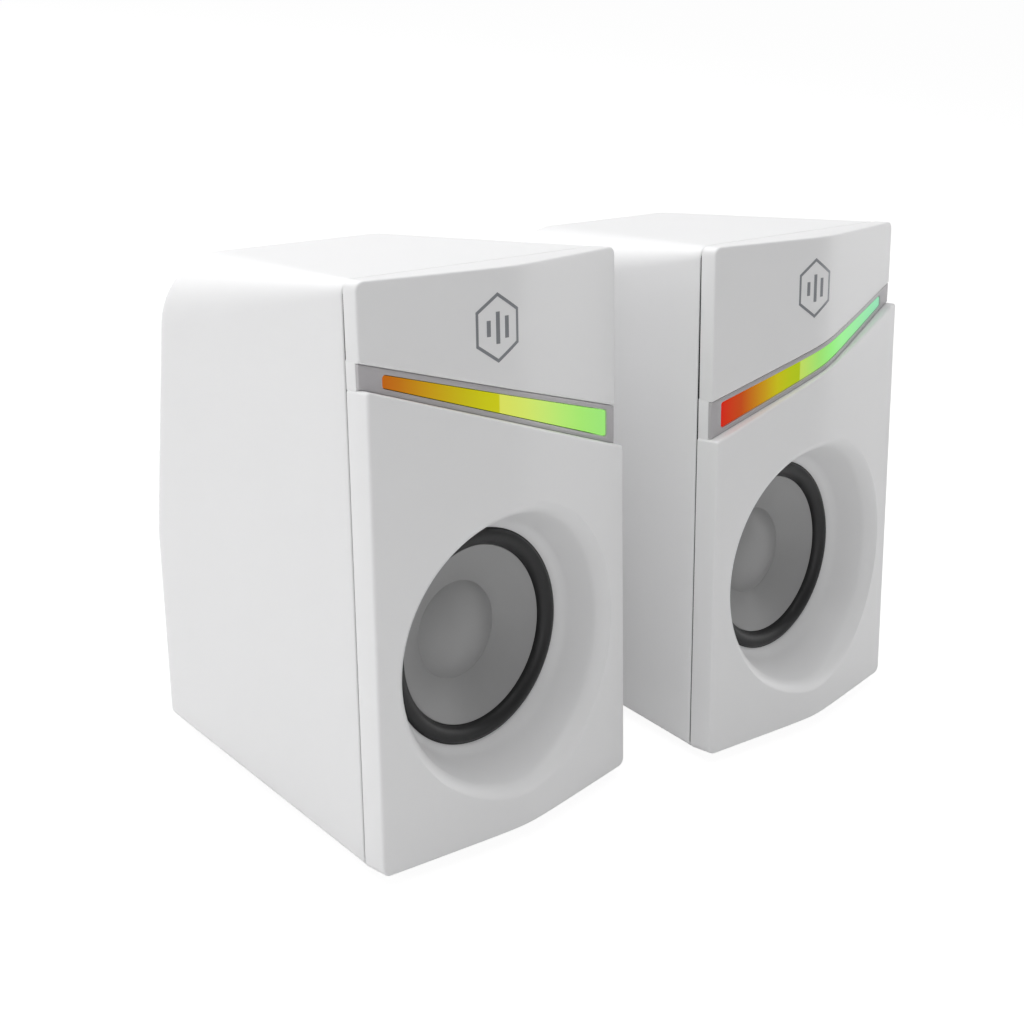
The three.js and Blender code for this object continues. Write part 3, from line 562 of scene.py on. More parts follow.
def rounded_path(corners, spacing=2.0, arc_steps=7):
    """Points and inward normals round a convex outline given as (x, z, radius) corners, anticlockwise."""
    path_points = []
    count = len(corners)
    for i in range(count):
        x, z, radius = corners[i]
        here = Vector((x, z))
        before = Vector(corners[i - 1][:2]) - here
        after = Vector(corners[(i + 1) % count][:2]) - here
        a, b = before.normalized(), after.normalized()
        half = math.acos(max(-1, min(1, a.dot(b)))) / 2
        centre = here + (a + b).normalized() * (radius / math.sin(half))
        start = here + a * (radius / math.tan(half))
        end = here + b * (radius / math.tan(half))
        first = math.atan2(start.y - centre.y, start.x - centre.x)
        last = math.atan2(end.y - centre.y, end.x - centre.x)
        while last < first:
            last += 2 * math.pi
        for step in range(arc_steps + 1):
            angle = first + (last - first) * step / arc_steps
            normal = Vector((-math.cos(angle), -math.sin(angle)))
            path_points.append((centre - normal * radius, normal))
        nx, nz, next_radius = corners[(i + 1) % count]
        following = Vector((nx, nz))
        beyond = (Vector(corners[(i + 2) % count][:2]) - following).normalized()
        next_half = math.acos(max(-1, min(1, (-b).dot(beyond)))) / 2
        finish_at = following - b * (next_radius / math.tan(next_half))
        run = (finish_at - end).length
        pieces = max(1, round(run / spacing))
        normal = Vector((-b.y, b.x))
        for step in range(1, pieces):
            path_points.append((end + (finish_at - end) * step / pieces, normal))
    return path_points


def lower_panel(form, side):
    top_left = channel_edge(side, -half_width(CHANNEL_MIDDLE), CHANNEL_FOOT)
    top_right = channel_edge(side, half_width(CHANNEL_MIDDLE), CHANNEL_FOOT)
    outline = rounded_path([
        (-half_width(0), 0, PANEL_CORNER), (half_width(0), 0, PANEL_CORNER),
        (half_width(top_right), top_right, 1.0), (-half_width(top_left), top_left, 1.0)])

    def ring(inset, depth):
        points = []
        for spot, normal in outline:
            at = spot + normal * inset
            points.append(Vector((at.x, depth(at.x), at.y)))
        return points

    rings = [ring(2.8, lambda x: -SEAM), ring(0.3, lambda x: -SEAM), ring(0.08, lambda x: -SEAM - 0.08),
             ring(0, lambda x: -SEAM - 0.3), ring(0, lambda x: (lower_front(x) - SEAM) / 2)]
    for step in range(6):
        a = math.radians(18 * step)
        rings.append(ring(EDGE_ROUND * (1 - math.cos(a)),
                          lambda x, a=a: lower_front(x) + EDGE_ROUND * (1 - math.sin(a))))
    rim = rings[-1]
    centre = Vector((0, 0, DRIVER_HEIGHT))
    spokes = [Vector((p.x, 0, p.z - DRIVER_HEIGHT)).normalized() for p in rim]

    def at_radius(spoke, radius, y=None):
        spot = centre + spoke * radius
        return Vector((spot.x, lower_front(spot.x) if y is None else y, spot.z))

    mouths = []
    for spoke in spokes:
        reach = dish_radius(-12)
        for _ in range(4):
            reach = dish_radius(lower_front(spoke.x * reach))
        mouths.append(reach)
    for share in (0.03, 0.08, 0.16, 0.26, 0.36, 0.46, 0.56, 0.66, 0.75, 0.83, 0.9, 0.95, 0.98):
        level_ring = []
        for start, spoke, mouth in zip(rim, spokes, mouths):
            out = Vector((start.x, 0, start.z - DRIVER_HEIGHT)).length
            level_ring.append(at_radius(spoke, out + (mouth + MOUTH_ROUND - out) * share))
        rings.append(level_ring)
    for step in range(9):
        t = step / 8
        curve = []
        for spoke, mouth in zip(spokes, mouths):
            outer = at_radius(spoke, mouth + MOUTH_ROUND)
            corner = at_radius(spoke, mouth + MOUTH_ROUND * 0.12, outer.y + MOUTH_ROUND * 0.4)
            deep_y = outer.y + MOUTH_ROUND * 1.5
            deep = at_radius(spoke, dish_radius(deep_y), deep_y)
            curve.append(outer * (1 - t) ** 2 + corner * 2 * t * (1 - t) + deep * t * t)
        rings.append(curve)
    wall = rings[-1]
    for share in (0.08, 0.17, 0.26, 0.35, 0.44, 0.53, 0.62, 0.71, 0.8, 0.88, 0.95, 1.0):
        rings.append([at_radius(spoke, dish_radius(p.y + (THROAT_DEPTH - 0.4 - p.y) * share),
                                p.y + (THROAT_DEPTH - 0.4 - p.y) * share) for spoke, p in zip(spokes, wall)])
    rings.append([at_radius(spoke, THROAT_RADIUS + 0.05, THROAT_DEPTH - 0.1) for spoke in spokes])
    rings.append([at_radius(spoke, THROAT_RADIUS + 0.3, THROAT_DEPTH) for spoke in spokes])
    rings.append([at_radius(spoke, THROAT_RADIUS + 2.8, THROAT_DEPTH) for spoke in spokes])
    first, last = loft(form, rings)
    join_rings(form, last, first)


COLUMN_SHARES = (1.0, 0.94, 0.87, 0.79, 0.7, 0.6, 0.5, 0.41, 0.33, 0.26, 0.2, 0.15, 0.11, 0.075, 0.045, 0.02)


def columns(left, right):
    """X places from one side to the other, closest together at the bend."""
    return [left * s for s in COLUMN_SHARES] + [0.0] + [right * s for s in reversed(COLUMN_SHARES)]


def band_ring(xs, foot, top, inset, depth, corner, top_corner=None, steps=4):
    """A ring round the band between two heights, with rounded corners, its foot from left to right first."""
    low_corner = max(corner - inset, 0.12)
    high_corner = max((top_corner or corner) - inset, 0.12)
    left, right = xs[0] + inset, xs[-1] - inset
    inner = xs[1:-1]
    points = []

    def arc(cx, cz, radius, start):
        for step in range(steps + 1):
            a = math.radians(start + 90 * step / steps)
            points.append((cx + radius * math.cos(a), cz + radius * math.sin(a)))

    def low_at(x):
        return foot(x) + inset

    def high_at(x):
        return top(x) - inset

    arc(left + low_corner, low_at(left + low_corner) + low_corner, low_corner, 180)
    points += [(x, low_at(x)) for x in inner]
    arc(right - low_corner, low_at(right - low_corner) + low_corner, low_corner, 270)
    arc(right - high_corner, high_at(right - high_corner) - high_corner, high_corner, 0)
    points += [(x, high_at(x)) for x in reversed(inner)]
    arc(left + high_corner, high_at(left + high_corner) - high_corner, high_corner, 90)
    return [Vector((x, depth(x), z)) for x, z in points]


def ladder(form, ring):
    """Fills a band ring with upright strips that join its foot to its top."""
    half = len(ring) // 2
    for i in range(half - 1):
        form.faces.new((ring[i], ring[i + 1], ring[-i - 2], ring[-i - 1]))


def plate_band(form, xs, foot, top, front, rear, round_edge, corner, top_corner=None):
    """A bent plate between two heights, its front edge rounded, closed at the rear."""

    def outline(inset, depth):
        return band_ring(xs, foot, top, inset, depth, corner, top_corner)

    rings = [outline(0.3, rear), outline(0.0, lambda x: rear(x) - 0.3)]
    for step in range(5):
        a = math.radians(22.5 * step)
        rings.append(outline(round_edge * (1 - math.cos(a)),
                             lambda x, a=a: front(x) + round_edge * (1 - math.sin(a))))
    rings.append(outline(round_edge + 0.8, front))
    first, last = loft(form, rings)
    ladder(form, first)
    ladder(form, last)


def upper_panel(form, side):
    xs = columns(-UPPER_REACH, UPPER_REACH)
    plate_band(form, xs, lambda x: channel_edge(side, x, CHANNEL_TOP), lambda x: CASE_HEIGHT,
               upper_front, lambda x: -SEAM, 0.6, 0.3, PANEL_CORNER)


def bar_columns(side, grow):
    outer = half_width(CHANNEL_TOP["outer"]) - BAR_OUTER_END + grow
    inner = half_width(CHANNEL_TOP["inner"]) - BAR_INNER_END + grow
    return columns(-outer if side < 0 else -inner, inner if side < 0 else outer)


def bar_foot(side, x, grow):
    return channel_edge(side, x, CHANNEL_FOOT) + BAR_MARGIN - grow


def bar_top(side, x, grow):
    return channel_edge(side, x, CHANNEL_TOP) - BAR_MARGIN + grow


def framed_band(form, side, reach, shrink, front, back, round_edge, grow):
    """A bent band across the channel with the light bar's opening in it."""
    xs = columns(-reach, reach)
    hole_xs = bar_columns(side, grow)

    def outer(inset, depth):
        return band_ring(xs, lambda x: channel_edge(side, x, CHANNEL_FOOT) + shrink,
                         lambda x: channel_edge(side, x, CHANNEL_TOP) - shrink, inset, depth, CHANNEL_CORNER)

    def opening(inset, depth):
        return band_ring(hole_xs, lambda x: bar_foot(side, x, grow),
                         lambda x: bar_top(side, x, grow), inset, depth, BAR_HOLE_CORNER)

    rings = [outer(0.0, back), outer(0.0, lambda x: front(x) + round_edge)]
    rings += [outer(round_edge * 0.3, lambda x: front(x) + round_edge * 0.3), outer(round_edge, front)]
    rings += [opening(-round_edge, front), opening(-round_edge * 0.3, lambda x: front(x) + round_edge * 0.3)]
    rings += [opening(0.0, lambda x: front(x) + round_edge), opening(0.0, back)]
    first, last = loft(form, rings)
    join_rings(form, last, first)


white_panel, _, _, panel_surface = grained("white_panel", PLASTIC_WHITE, 0.36, 2400, 0.045, 0.02)
panel_surface.inputs["Specular IOR Level"].default_value = 0.45
for speaker in SPEAKERS:
    face = bmesh.new()
    lower_panel(face, outer_side[speaker])
    upper_panel(face, outer_side[speaker])
    framed_band(face, outer_side[speaker], UPPER_REACH, -CHANNEL_OVERLAP,
                lambda x: upper_front(x) + TRIM_SINK + TRIM_THICKNESS, lambda x: -SEAM, 0.1, 0.3)
    for x, z in post_places:
        post_end = rear_depth(z) - CASE_WALL - SCREW_SINK - SCREW_HEAD_HEIGHT
        rod(face, POST_RADIUS, POST_FOOT, post_end, x, z, 32)
    panel = finished(face, speaker + "_front_panel_face", speaker, white_panel)
    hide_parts(speaker + "_front_panel")
    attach(panel, "cases")

# A strip of black foam seals the seam between the panel and the case, a little below the surface. It is a
# closed ring of square section, pressed between the two.
FOAM_INSET = 0.45
FOAM_WIDTH = 1.9
FOAM_GAP = 0.03
foam_section = ((FOAM_INSET, -SEAM + FOAM_GAP), (FOAM_INSET, -FOAM_GAP),
                (FOAM_INSET + FOAM_WIDTH, -FOAM_GAP), (FOAM_INSET + FOAM_WIDTH, -SEAM + FOAM_GAP))
foam, _, _, _ = grained("seam_foam", (0.03, 0.03, 0.03, 1), 0.95, 1600, 0.5, 0.3)
for speaker in SPEAKERS:
    seal = bmesh.new()
    first, last = loft(seal, [case_ring(0.0, inset, y=y) for inset, y in foam_section])
    join_rings(seal, last, first)
    strip = finished(seal, speaker + "_seam_foam", speaker, foam)
    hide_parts(speaker + "_panel_gasket")
    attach(strip, "cases")

# A grey plastic trim lies in the channel, a third of a millimetre below the upper part of the panel. It is a
# bent plate with a long opening that frames the light bar.
TRIM_GAP = 0.15
BAR_SINK = 0.55
BAR_THICKNESS = 4.2
grey_trim, _, _, _ = grained("grey_trim", (0.50, 0.485, 0.50, 1), 0.34, 3000, 0.04, 0.05)
for speaker in SPEAKERS:
    frame_form = bmesh.new()
    framed_band(frame_form, outer_side[speaker], UPPER_REACH - 0.02, TRIM_GAP,
                lambda x: upper_front(x) + TRIM_SINK,
                lambda x: upper_front(x) + TRIM_SINK + TRIM_THICKNESS - 0.05, 0.2, 0.25)
    trim = finished(frame_form, speaker + "_channel_trim", speaker, grey_trim)
    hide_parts(speaker + "_light_trim")
    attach(trim, "cases")

# The light bar is a milky acrylic guide set in the trim. A row of coloured LEDs lights it from behind, so
# its colour changes along it. Each stop below is a share of the bar's length and a screen colour. Past the
# bend each bar's colours step up at once to paler ones: that paleness is a painted reflection on the bar's
# second flat, and because it is painted along the bar it shows from every side.
BAR_CORNER = 0.7
GUIDE_DARK = (0.012, 0.012, 0.012, 1)
BAR_GLOW_AND_REFLECTION = {
    # The left bar's stops from 0.414 on and the right bar's from 0.382 on are the LEDs' colours with painted
    # reflection added: paler than the stops before the bend.
    "left": (
        (0.0, (192, 100, 4)), (0.054, (194, 116, 4)), (0.163, (201, 156, 3)), (0.29, (200, 188, 3)),
        (0.362, (204, 202, 3)), (0.411, (206, 206, 4)), (0.414, (226, 232, 96)), (0.528, (216, 236, 102)),
        (0.623, (203, 238, 110)), (0.728, (185, 240, 112)), (0.845, (168, 239, 110)), (1.0, (158, 237, 120)),
    ),
    "right": (
        (0.0, (214, 30, 4)), (0.095, (198, 74, 4)), (0.149, (200, 118, 4)), (0.207, (203, 155, 6)),
        (0.269, (201, 192, 3)), (0.335, (184, 200, 4)), (0.379, (178, 200, 4)), (0.382, (200, 226, 98)),
        (0.48, (164, 232, 114)), (0.56, (150, 243, 124)), (0.65, (157, 246, 148)), (0.85, (152, 236, 170)),
        (1.0, (146, 228, 184)),
    ),
}


def from_screen(color):
    return [((c / 255 + 0.055) / 1.055) ** 2.4 if c > 10 else c / 255 / 12.92 for c in color] + [1]


for speaker in SPEAKERS:
    side = outer_side[speaker]
    bar_xs = bar_columns(side, 0)
    guide = bmesh.new()
    plate_band(guide, bar_xs, lambda x: bar_foot(side, x, 0), lambda x: bar_top(side, x, 0),
               lambda x: upper_front(x) + BAR_SINK,
               lambda x: upper_front(x) + BAR_SINK + BAR_THICKNESS, 0.25, BAR_CORNER)
    glowing, parts, links, surface = grained("light_guide_" + speaker, GUIDE_DARK, 0.4, 900, 0.03, 0.02)
    where = parts.new("ShaderNodeTexCoord")
    apart = parts.new("ShaderNodeSeparateXYZ")
    along = parts.new("ShaderNodeMapRange")
    ramp = parts.new("ShaderNodeValToRGB")
    centre_x = seam_foot[speaker].x
    along.inputs["From Min"].default_value = centre_x + bar_xs[0] / 1000
    along.inputs["From Max"].default_value = centre_x + bar_xs[-1] / 1000
    stops = BAR_GLOW_AND_REFLECTION[speaker]
    while len(ramp.color_ramp.elements) < len(stops):
        ramp.color_ramp.elements.new(0.5)
    for element, (at, color) in zip(ramp.color_ramp.elements, stops):
        element.position = at
        element.color = from_screen(color)
    links.new(where.outputs["Object"], apart.inputs["Vector"])
    links.new(apart.outputs["X"], along.inputs["Value"])
    links.new(along.outputs["Result"], ramp.inputs["Fac"])
    # The ramp glows as emission: the LEDs' colours, with painted reflection making the stops past the bend
    # paler.
    links.new(ramp.outputs["Color"], surface.inputs["Emission Color"])
    surface.inputs["Emission Strength"].default_value = 0.88
    surface.inputs["Specular IOR Level"].default_value = 0.12
    bar = finished(guide, speaker + "_light_guide", speaker, glowing)
    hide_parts(speaker + "_light_bar")
    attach(bar, "cases")

# A plain mark is printed in grey near the middle of the upper part: a six-sided ring round three bars. It is
# a film of ink that follows the panel's bend.
MARK_HEIGHT = 144.4
MARK_ASIDE = -6.5
MARK_RADIUS = 9.2
MARK_STROKE = 1.0
MARK_LIFT = 0.06
MARK_SQUEEZE = 0.86
MARK_BARS = ((-2.9, 4.2), (0, 8.4), (2.9, 5.8))
MARK_BAR_HALF = 0.6
mark_grey, _, _, mark_surface = grained("mark_grey", (0.30, 0.31, 0.33, 1), 0.3, 3000, 0.03, 0.1)
mark_surface.inputs["Metallic"].default_value = 0.3
for speaker in SPEAKERS:
    mark = bmesh.new()
    sixths = [math.radians(60 * i) for i in range(6)]
    six = [Vector((math.sin(a) * MARK_SQUEEZE, 0, math.cos(a))) for a in sixths]
    outer_ring = first_ring(mark, [p * MARK_RADIUS for p in six])
    next_ring(mark, outer_ring, [p * (MARK_RADIUS - MARK_STROKE) for p in six])
    for x, tall in MARK_BARS:
        left, right = x - MARK_BAR_HALF, x + MARK_BAR_HALF
        corners = ((left, -tall / 2), (right, -tall / 2), (right, tall / 2), (left, tall / 2))
        stroke = first_ring(mark, [Vector((px, 0, pz)) for px, pz in corners])
        bmesh.ops.contextual_create(mark, geom=stroke)
    for x in (-6, -4, -2, 0, 2, 4, 5.5, 6.5, 7.5):
        bmesh.ops.bisect_plane(mark, geom=mark.verts[:] + mark.edges[:] + mark.faces[:],
                               plane_co=(x, 0, 0), plane_no=(1, 0, 0))
    solid = bmesh.ops.extrude_face_region(mark, geom=mark.faces[:])["geom"]
    raised = {v for v in solid if isinstance(v, bmesh.types.BMVert)}
    for vertex in mark.verts:
        vertex.co.x += MARK_ASIDE
        vertex.co.z += MARK_HEIGHT
        vertex.co.y = upper_front(vertex.co.x) + (-MARK_LIFT if vertex in raised else 0.1)
    emblem = finished(mark, speaker + "_printed_mark", speaker, mark_grey, 20)
    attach(emblem, "cases")


# The driver's surround is a half roll of black rubber: its flange is clamped behind the panel and its inner
# lip is glued to the cone.
def spun(profile, steps=128, x=0.0, z=0.0):
    """Turns a profile of (radius, y) points a full turn about an axis along Y through x, z."""
    form = bmesh.new()
    chain = [form.verts.new((radius, y, 0)) for radius, y in profile]
    edges = [form.edges.new(pair) for pair in zip(chain, chain[1:])]
    bmesh.ops.spin(form, geom=chain + edges, cent=(0, 0, 0), axis=(0, 1, 0), angle=2 * math.pi,
                   steps=steps, use_merge=True, use_duplicate=False)
    bmesh.ops.remove_doubles(form, verts=form.verts, dist=0.0005)
    bmesh.ops.translate(form, vec=(x, 0, z), verts=form.verts)
    return form


SURROUND_RADIUS = 31.7
CONE_RADIUS = 26.8
CONE_EDGE_DEPTH = 6.9
ROLL_RISE = 2.0
RUBBER_THICKNESS = 0.5
FLANGE_RADIUS = 34.4
FLANGE_START = SURROUND_RADIUS + 0.35
rubber, _, _, rubber_surface = grained("surround_rubber", (0.012, 0.012, 0.013, 1), 0.42, 1500, 0.12, 0.2)
rubber_surface.inputs["Specular IOR Level"].default_value = 0.5
for speaker in SPEAKERS:
    middle = (SURROUND_RADIUS + CONE_RADIUS) / 2
    half = (SURROUND_RADIUS - CONE_RADIUS) / 2
    outside = [(FLANGE_RADIUS, THROAT_DEPTH + 0.05), (FLANGE_START, THROAT_DEPTH + 0.05)]
    inside = [(CONE_RADIUS - 0.9, CONE_EDGE_DEPTH + 1.65), (CONE_RADIUS - 0.2, CONE_EDGE_DEPTH + 1.25)]
    for step in range(21):
        a = math.pi * step / 20
        seat_y = THROAT_DEPTH + 0.1 + (CONE_EDGE_DEPTH - THROAT_DEPTH - 0.1) * step / 20
        lift = ROLL_RISE * math.sin(a)
        outside.append((middle + half * math.cos(a), seat_y - lift))
        back_y = CONE_EDGE_DEPTH + THROAT_DEPTH + 0.1 - seat_y + RUBBER_THICKNESS
        inside.append((middle - (half - 0.1) * math.cos(a), back_y - lift))
    outside += [(CONE_RADIUS - 0.02, CONE_EDGE_DEPTH + 0.9), (CONE_RADIUS - 0.9, CONE_EDGE_DEPTH + 1.4)]
    inside += [(FLANGE_START, THROAT_DEPTH + 0.35), (FLANGE_RADIUS, THROAT_DEPTH + 0.35),
               (FLANGE_RADIUS, THROAT_DEPTH + 0.05)]
    ring_form = spun(outside + inside, 144, 0, DRIVER_HEIGHT)
    roll = finished(ring_form, speaker + "_surround_roll", speaker, rubber, 60)
    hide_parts(speaker + "_surround")
    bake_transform(roll)

# The cone is pressed from grey filled plastic, satin, and a shallow domed cap closes its neck.
CONE_SLOPE = math.tan(math.radians(30.5))
CAP_RADIUS = 14.4
CAP_RISE = 3.6
COIL_RADIUS = 10.35


def cone_depth(radius):
    return CONE_EDGE_DEPTH + (CONE_RADIUS - radius) * CONE_SLOPE


cone_grey, _, _, cone_surface = grained("cone_grey", (0.36, 0.36, 0.362, 1), 0.4, 2000, 0.05, 0.06)
cone_surface.inputs["Specular IOR Level"].default_value = 0.5
for speaker in SPEAKERS:
    front = [(CONE_RADIUS - 0.05, CONE_EDGE_DEPTH + 0.3), (CONE_RADIUS - 0.2, CONE_EDGE_DEPTH + 0.1)]
    for step in range(1, 15):
        radius = CONE_RADIUS - 0.4 - (CONE_RADIUS - 0.4 - COIL_RADIUS - 0.3) * step / 14
        front.append((radius, cone_depth(radius) - 0.4 * math.sin(math.pi * step / 14) + 0.1))
    back = [(radius, y + 0.55) for radius, y in reversed(front)]
    cone_form = spun(front + back + [front[0]], 128, 0, DRIVER_HEIGHT)
    cone_skin = finished(cone_form, speaker + "_cone_skin", speaker, cone_grey, 40)
    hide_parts(speaker + "_cone")
    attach(cone_skin, speaker + "_cone_assembly")
    rim_y = cone_depth(CAP_RADIUS) - 0.55
    dome = [(0.0, rim_y - CAP_RISE)]
    for step in range(1, 19):
        share = step / 18
        dome.append((CAP_RADIUS * share, rim_y - CAP_RISE * (1 - share ** 2.3)))
    dome += [(CAP_RADIUS + 0.3, rim_y + 0.22), (CAP_RADIUS + 0.7, rim_y + 0.28)]
    under = [(radius * 0.985, y + 0.4) for radius, y in reversed(dome)]
    cap = finished(spun(dome + under, 128, 0, DRIVER_HEIGHT), speaker + "_dust_dome", speaker, cone_grey, 60)
    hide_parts(speaker + "_dust_cap")
    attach(cap, speaker + "_cone_assembly")

# Behind the cone: a copper coil on its former, a cloth spider, a pressed steel basket and the magnet with
# its plates. These stay as the solids say, each with the finish of what it is made of, and so does the green
# strip board behind the light bar.
copper, _, _, copper_surface = grained("copper", (0.62, 0.27, 0.13, 1), 0.32, 1800, 0.1, 0.25)
copper_surface.inputs["Metallic"].default_value = 1.0
cloth, _, _, _ = grained("spider_cloth", (0.55, 0.36, 0.12, 1), 0.85, 1200, 0.35, 0.3)
steel, _, _, steel_surface = grained("pressed_steel", (0.05, 0.052, 0.056, 1), 0.42, 900, 0.08, 0.2)
steel_surface.inputs["Metallic"].default_value = 0.6
zinc, _, _, zinc_surface = grained("zinc_steel", (0.55, 0.56, 0.58, 1), 0.32, 1400, 0.06, 0.15)
zinc_surface.inputs["Metallic"].default_value = 1.0
ferrite, _, _, _ = grained("ferrite", (0.035, 0.035, 0.038, 1), 0.75, 2200, 0.3, 0.3)
board_green, _, _, _ = grained("circuit_board", (0.02, 0.10, 0.05, 1), 0.4, 500, 0.1, 0.45)
finishes = (("voice_coil", copper), ("spider", cloth), ("basket", steel), ("top_plate", zinc),
            ("magnet", ferrite), ("yoke", zinc), ("led_board", board_green))
for speaker in SPEAKERS:
    for piece_name, material in finishes:
        nodes[speaker + "_" + piece_name].material_slots[0].material = material

# The bass port is a black plastic tube with a flared lip. It is pushed into the hole in the sloping part of
# the rear until its flange lies on the case.
PORT_RADIUS = 10.0
PORT_FLANGE = 16.5
PORT_LENGTH = 32.0
PORT_LIP = 1.8
black_plastic, _, _, _ = grained("black_plastic", (0.018, 0.018, 0.019, 1), 0.45, 2200, 0.08, 0.25)
for speaker in SPEAKERS:
    profile = [(PORT_RADIUS + 0.4, -PORT_LENGTH), (PORT_OUTER - 0.3, -PORT_LENGTH),
               (PORT_OUTER, -PORT_LENGTH + 0.3), (PORT_OUTER, FIT), (PORT_FLANGE, FIT),
               (PORT_FLANGE, FIT + 0.7), (PORT_FLANGE - 0.25, FIT + 1.1),
               (PORT_FLANGE - 0.9, PORT_LIP - 0.15), (PORT_FLANGE - 1.6, PORT_LIP),
               (PORT_RADIUS + 4.6, PORT_LIP)]
    for step in range(1, 13):
        a = math.radians(90 * step / 12)
        profile.append((PORT_RADIUS + 4.4 * (1 - math.sin(a)), PORT_LIP - 8.2 * (1 - math.cos(a))))
    profile += [(PORT_RADIUS, -PORT_LENGTH + 0.5), (PORT_RADIUS + 0.4, -PORT_LENGTH)]
    tube = spun(profile, 96)
    bmesh.ops.transform(tube, matrix=port_seat, verts=tube.verts)
    port = finished(tube, speaker + "_port_tube", speaker, black_plastic)
    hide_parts(speaker + "_bass_port")
    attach(port, "cases")

# A black plastic plate fills the opening in the rear and carries the controls and the sockets. Its face
# lies 0.6 mm below the case's, with eased edges.
PLATE_FACE = CASE_DEPTH - 0.6
PLATE_BACK = CASE_DEPTH - CASE_WALL
KNOB_AT = (-8.0, 57.5)
BUTTON_AT = (14.0, 57.5)
AUDIO_AT = (-17.0, 39.0)
LINK_AT = (-4.0, 39.0)
POWER_AT = (14.0, 39.0)
PASSIVE_AT = (0.0, 50.0)
POWER_WIDTH = 9.4
POWER_HEIGHT = 3.7
SHAFT_RADIUS = 2.9
BUTTON_RADIUS = 3.4
BARREL_RADIUS = 3.9


def ease(form, edges, offset, segments=2):
    """Rounds the given edges a little."""
    bmesh.ops.bevel(form, geom=edges, offset=offset, segments=segments, profile=0.5,
                    affect="EDGES", material=-1)


for speaker in SPEAKERS:
    slab = bmesh.new()
    rounded_slab(slab, PLATE_WIDTH, PLATE_HEIGHT, PLATE_CORNER, 0, PLATE_FOOT, PLATE_BACK, PLATE_FACE)
    outward(slab)
    rim_edges = [e for e in slab.edges if all(v.co.y > PLATE_FACE - 0.01 for v in e.verts)]
    ease(slab, rim_edges, 0.35, 3)
    bores = bmesh.new()
    if speaker == "right":
        rod(bores, SHAFT_RADIUS + FIT, PLATE_BACK - 1, PLATE_FACE + 1, *KNOB_AT)
        rod(bores, BUTTON_RADIUS + FIT, PLATE_BACK - 1, PLATE_FACE + 1, *BUTTON_AT)
        rod(bores, BARREL_RADIUS + FIT, PLATE_BACK - 1, PLATE_FACE + 1, *AUDIO_AT)
        rod(bores, BARREL_RADIUS + FIT, PLATE_BACK - 1, PLATE_FACE + 1, *LINK_AT)
        rounded_slab(bores, POWER_WIDTH + 0.6, POWER_HEIGHT + 0.6, POWER_HEIGHT / 2 + 0.25, POWER_AT[0],
                     POWER_AT[1] - POWER_HEIGHT / 2 - 0.3, PLATE_BACK - 1, PLATE_FACE + 1)
    else:
        rod(bores, BARREL_RADIUS + FIT, PLATE_BACK - 1, PLATE_FACE + 1, *PASSIVE_AT)
    slab = cut(slab, bores)
    plate = finished(slab, speaker + "_socket_plate", speaker, black_plastic)
    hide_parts(speaker + "_rear_plate")
    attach(plate, "cases")

# The volume knob is ribbed black plastic with a white pointer, pushed on to the stem of its potentiometer.
KNOB_RADIUS = 9.0
KNOB_FOOT = PLATE_FACE + 0.8
KNOB_TOP = KNOB_FOOT + 9.0
KNOB_RIBS = 36
RIB_DEPTH = 0.45
knob_plastic, _, _, _ = grained("knob_plastic", (0.03, 0.03, 0.032, 1), 0.5, 1800, 0.12, 0.2)
profile = [(0, PLATE_BACK - 5), (SHAFT_RADIUS, PLATE_BACK - 5), (SHAFT_RADIUS, KNOB_FOOT), (8.7, KNOB_FOOT),
           (KNOB_RADIUS, KNOB_FOOT + 0.3), (KNOB_RADIUS, KNOB_FOOT + 1.6), (8.8, KNOB_FOOT + 1.9),
           (8.6, KNOB_TOP - 1.5), (8.3, KNOB_TOP - 0.7), (7.7, KNOB_TOP - 0.15), (7.0, KNOB_TOP),
           (6.2, KNOB_TOP), (5.9, KNOB_TOP - 0.25), (0, KNOB_TOP - 0.25)]
grip = spun(profile, 144, *KNOB_AT)
for vertex in grip.verts:
    out = Vector((vertex.co.x - KNOB_AT[0], 0, vertex.co.z - KNOB_AT[1]))
    if KNOB_FOOT + 1.7 < vertex.co.y < KNOB_TOP - 0.5 and out.length > 8:
        turn_share = math.atan2(out.z, out.x) / (2 * math.pi) * KNOB_RIBS
        vertex.co -= out.normalized() * RIB_DEPTH * (0.5 - 0.5 * math.cos(2 * math.pi * turn_share))
knob = finished(grip, "right_knob_cap", "right", knob_plastic)
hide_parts("right_volume_knob")
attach(knob, "volume_knob")
pointer_white, _, _, _ = grained("pointer_white", (0.8, 0.8, 0.8, 1), 0.5, 2500, 0.05, 0.05)


def block(form, middle, size):
    """A square-edged block about its middle."""
    bmesh.ops.create_cube(form, size=1, matrix=Matrix.Translation(middle) @ Matrix.Diagonal((*size, 1)))


line = bmesh.new()
block(line, (KNOB_AT[0], KNOB_TOP - 0.2, KNOB_AT[1] + 3.4), (0.9, 0.3, 4.4))
ease(line, line.edges[:], 0.1)
pointer = finished(line, "right_knob_pointer", "right", pointer_white)
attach(pointer, "volume_knob")

# A small round push button of the same black plastic stands beside the knob. It slides in a bore of the
# plate, and its top is dished for a fingertip.
BUTTON_TOP = PLATE_FACE + 1.4
profile = [(0, BUTTON_TOP - 7), (BUTTON_RADIUS, BUTTON_TOP - 7), (BUTTON_RADIUS, BUTTON_TOP - 0.6),
           (3.3, BUTTON_TOP - 0.25),
           (3.0, BUTTON_TOP), (2.2, BUTTON_TOP - 0.05), (1.1, BUTTON_TOP - 0.2), (0, BUTTON_TOP - 0.25)]
button = finished(spun(profile, 64, *BUTTON_AT), "right_button_cap", "right", knob_plastic, 50)
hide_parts("right_light_button")
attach(button, "light_button")

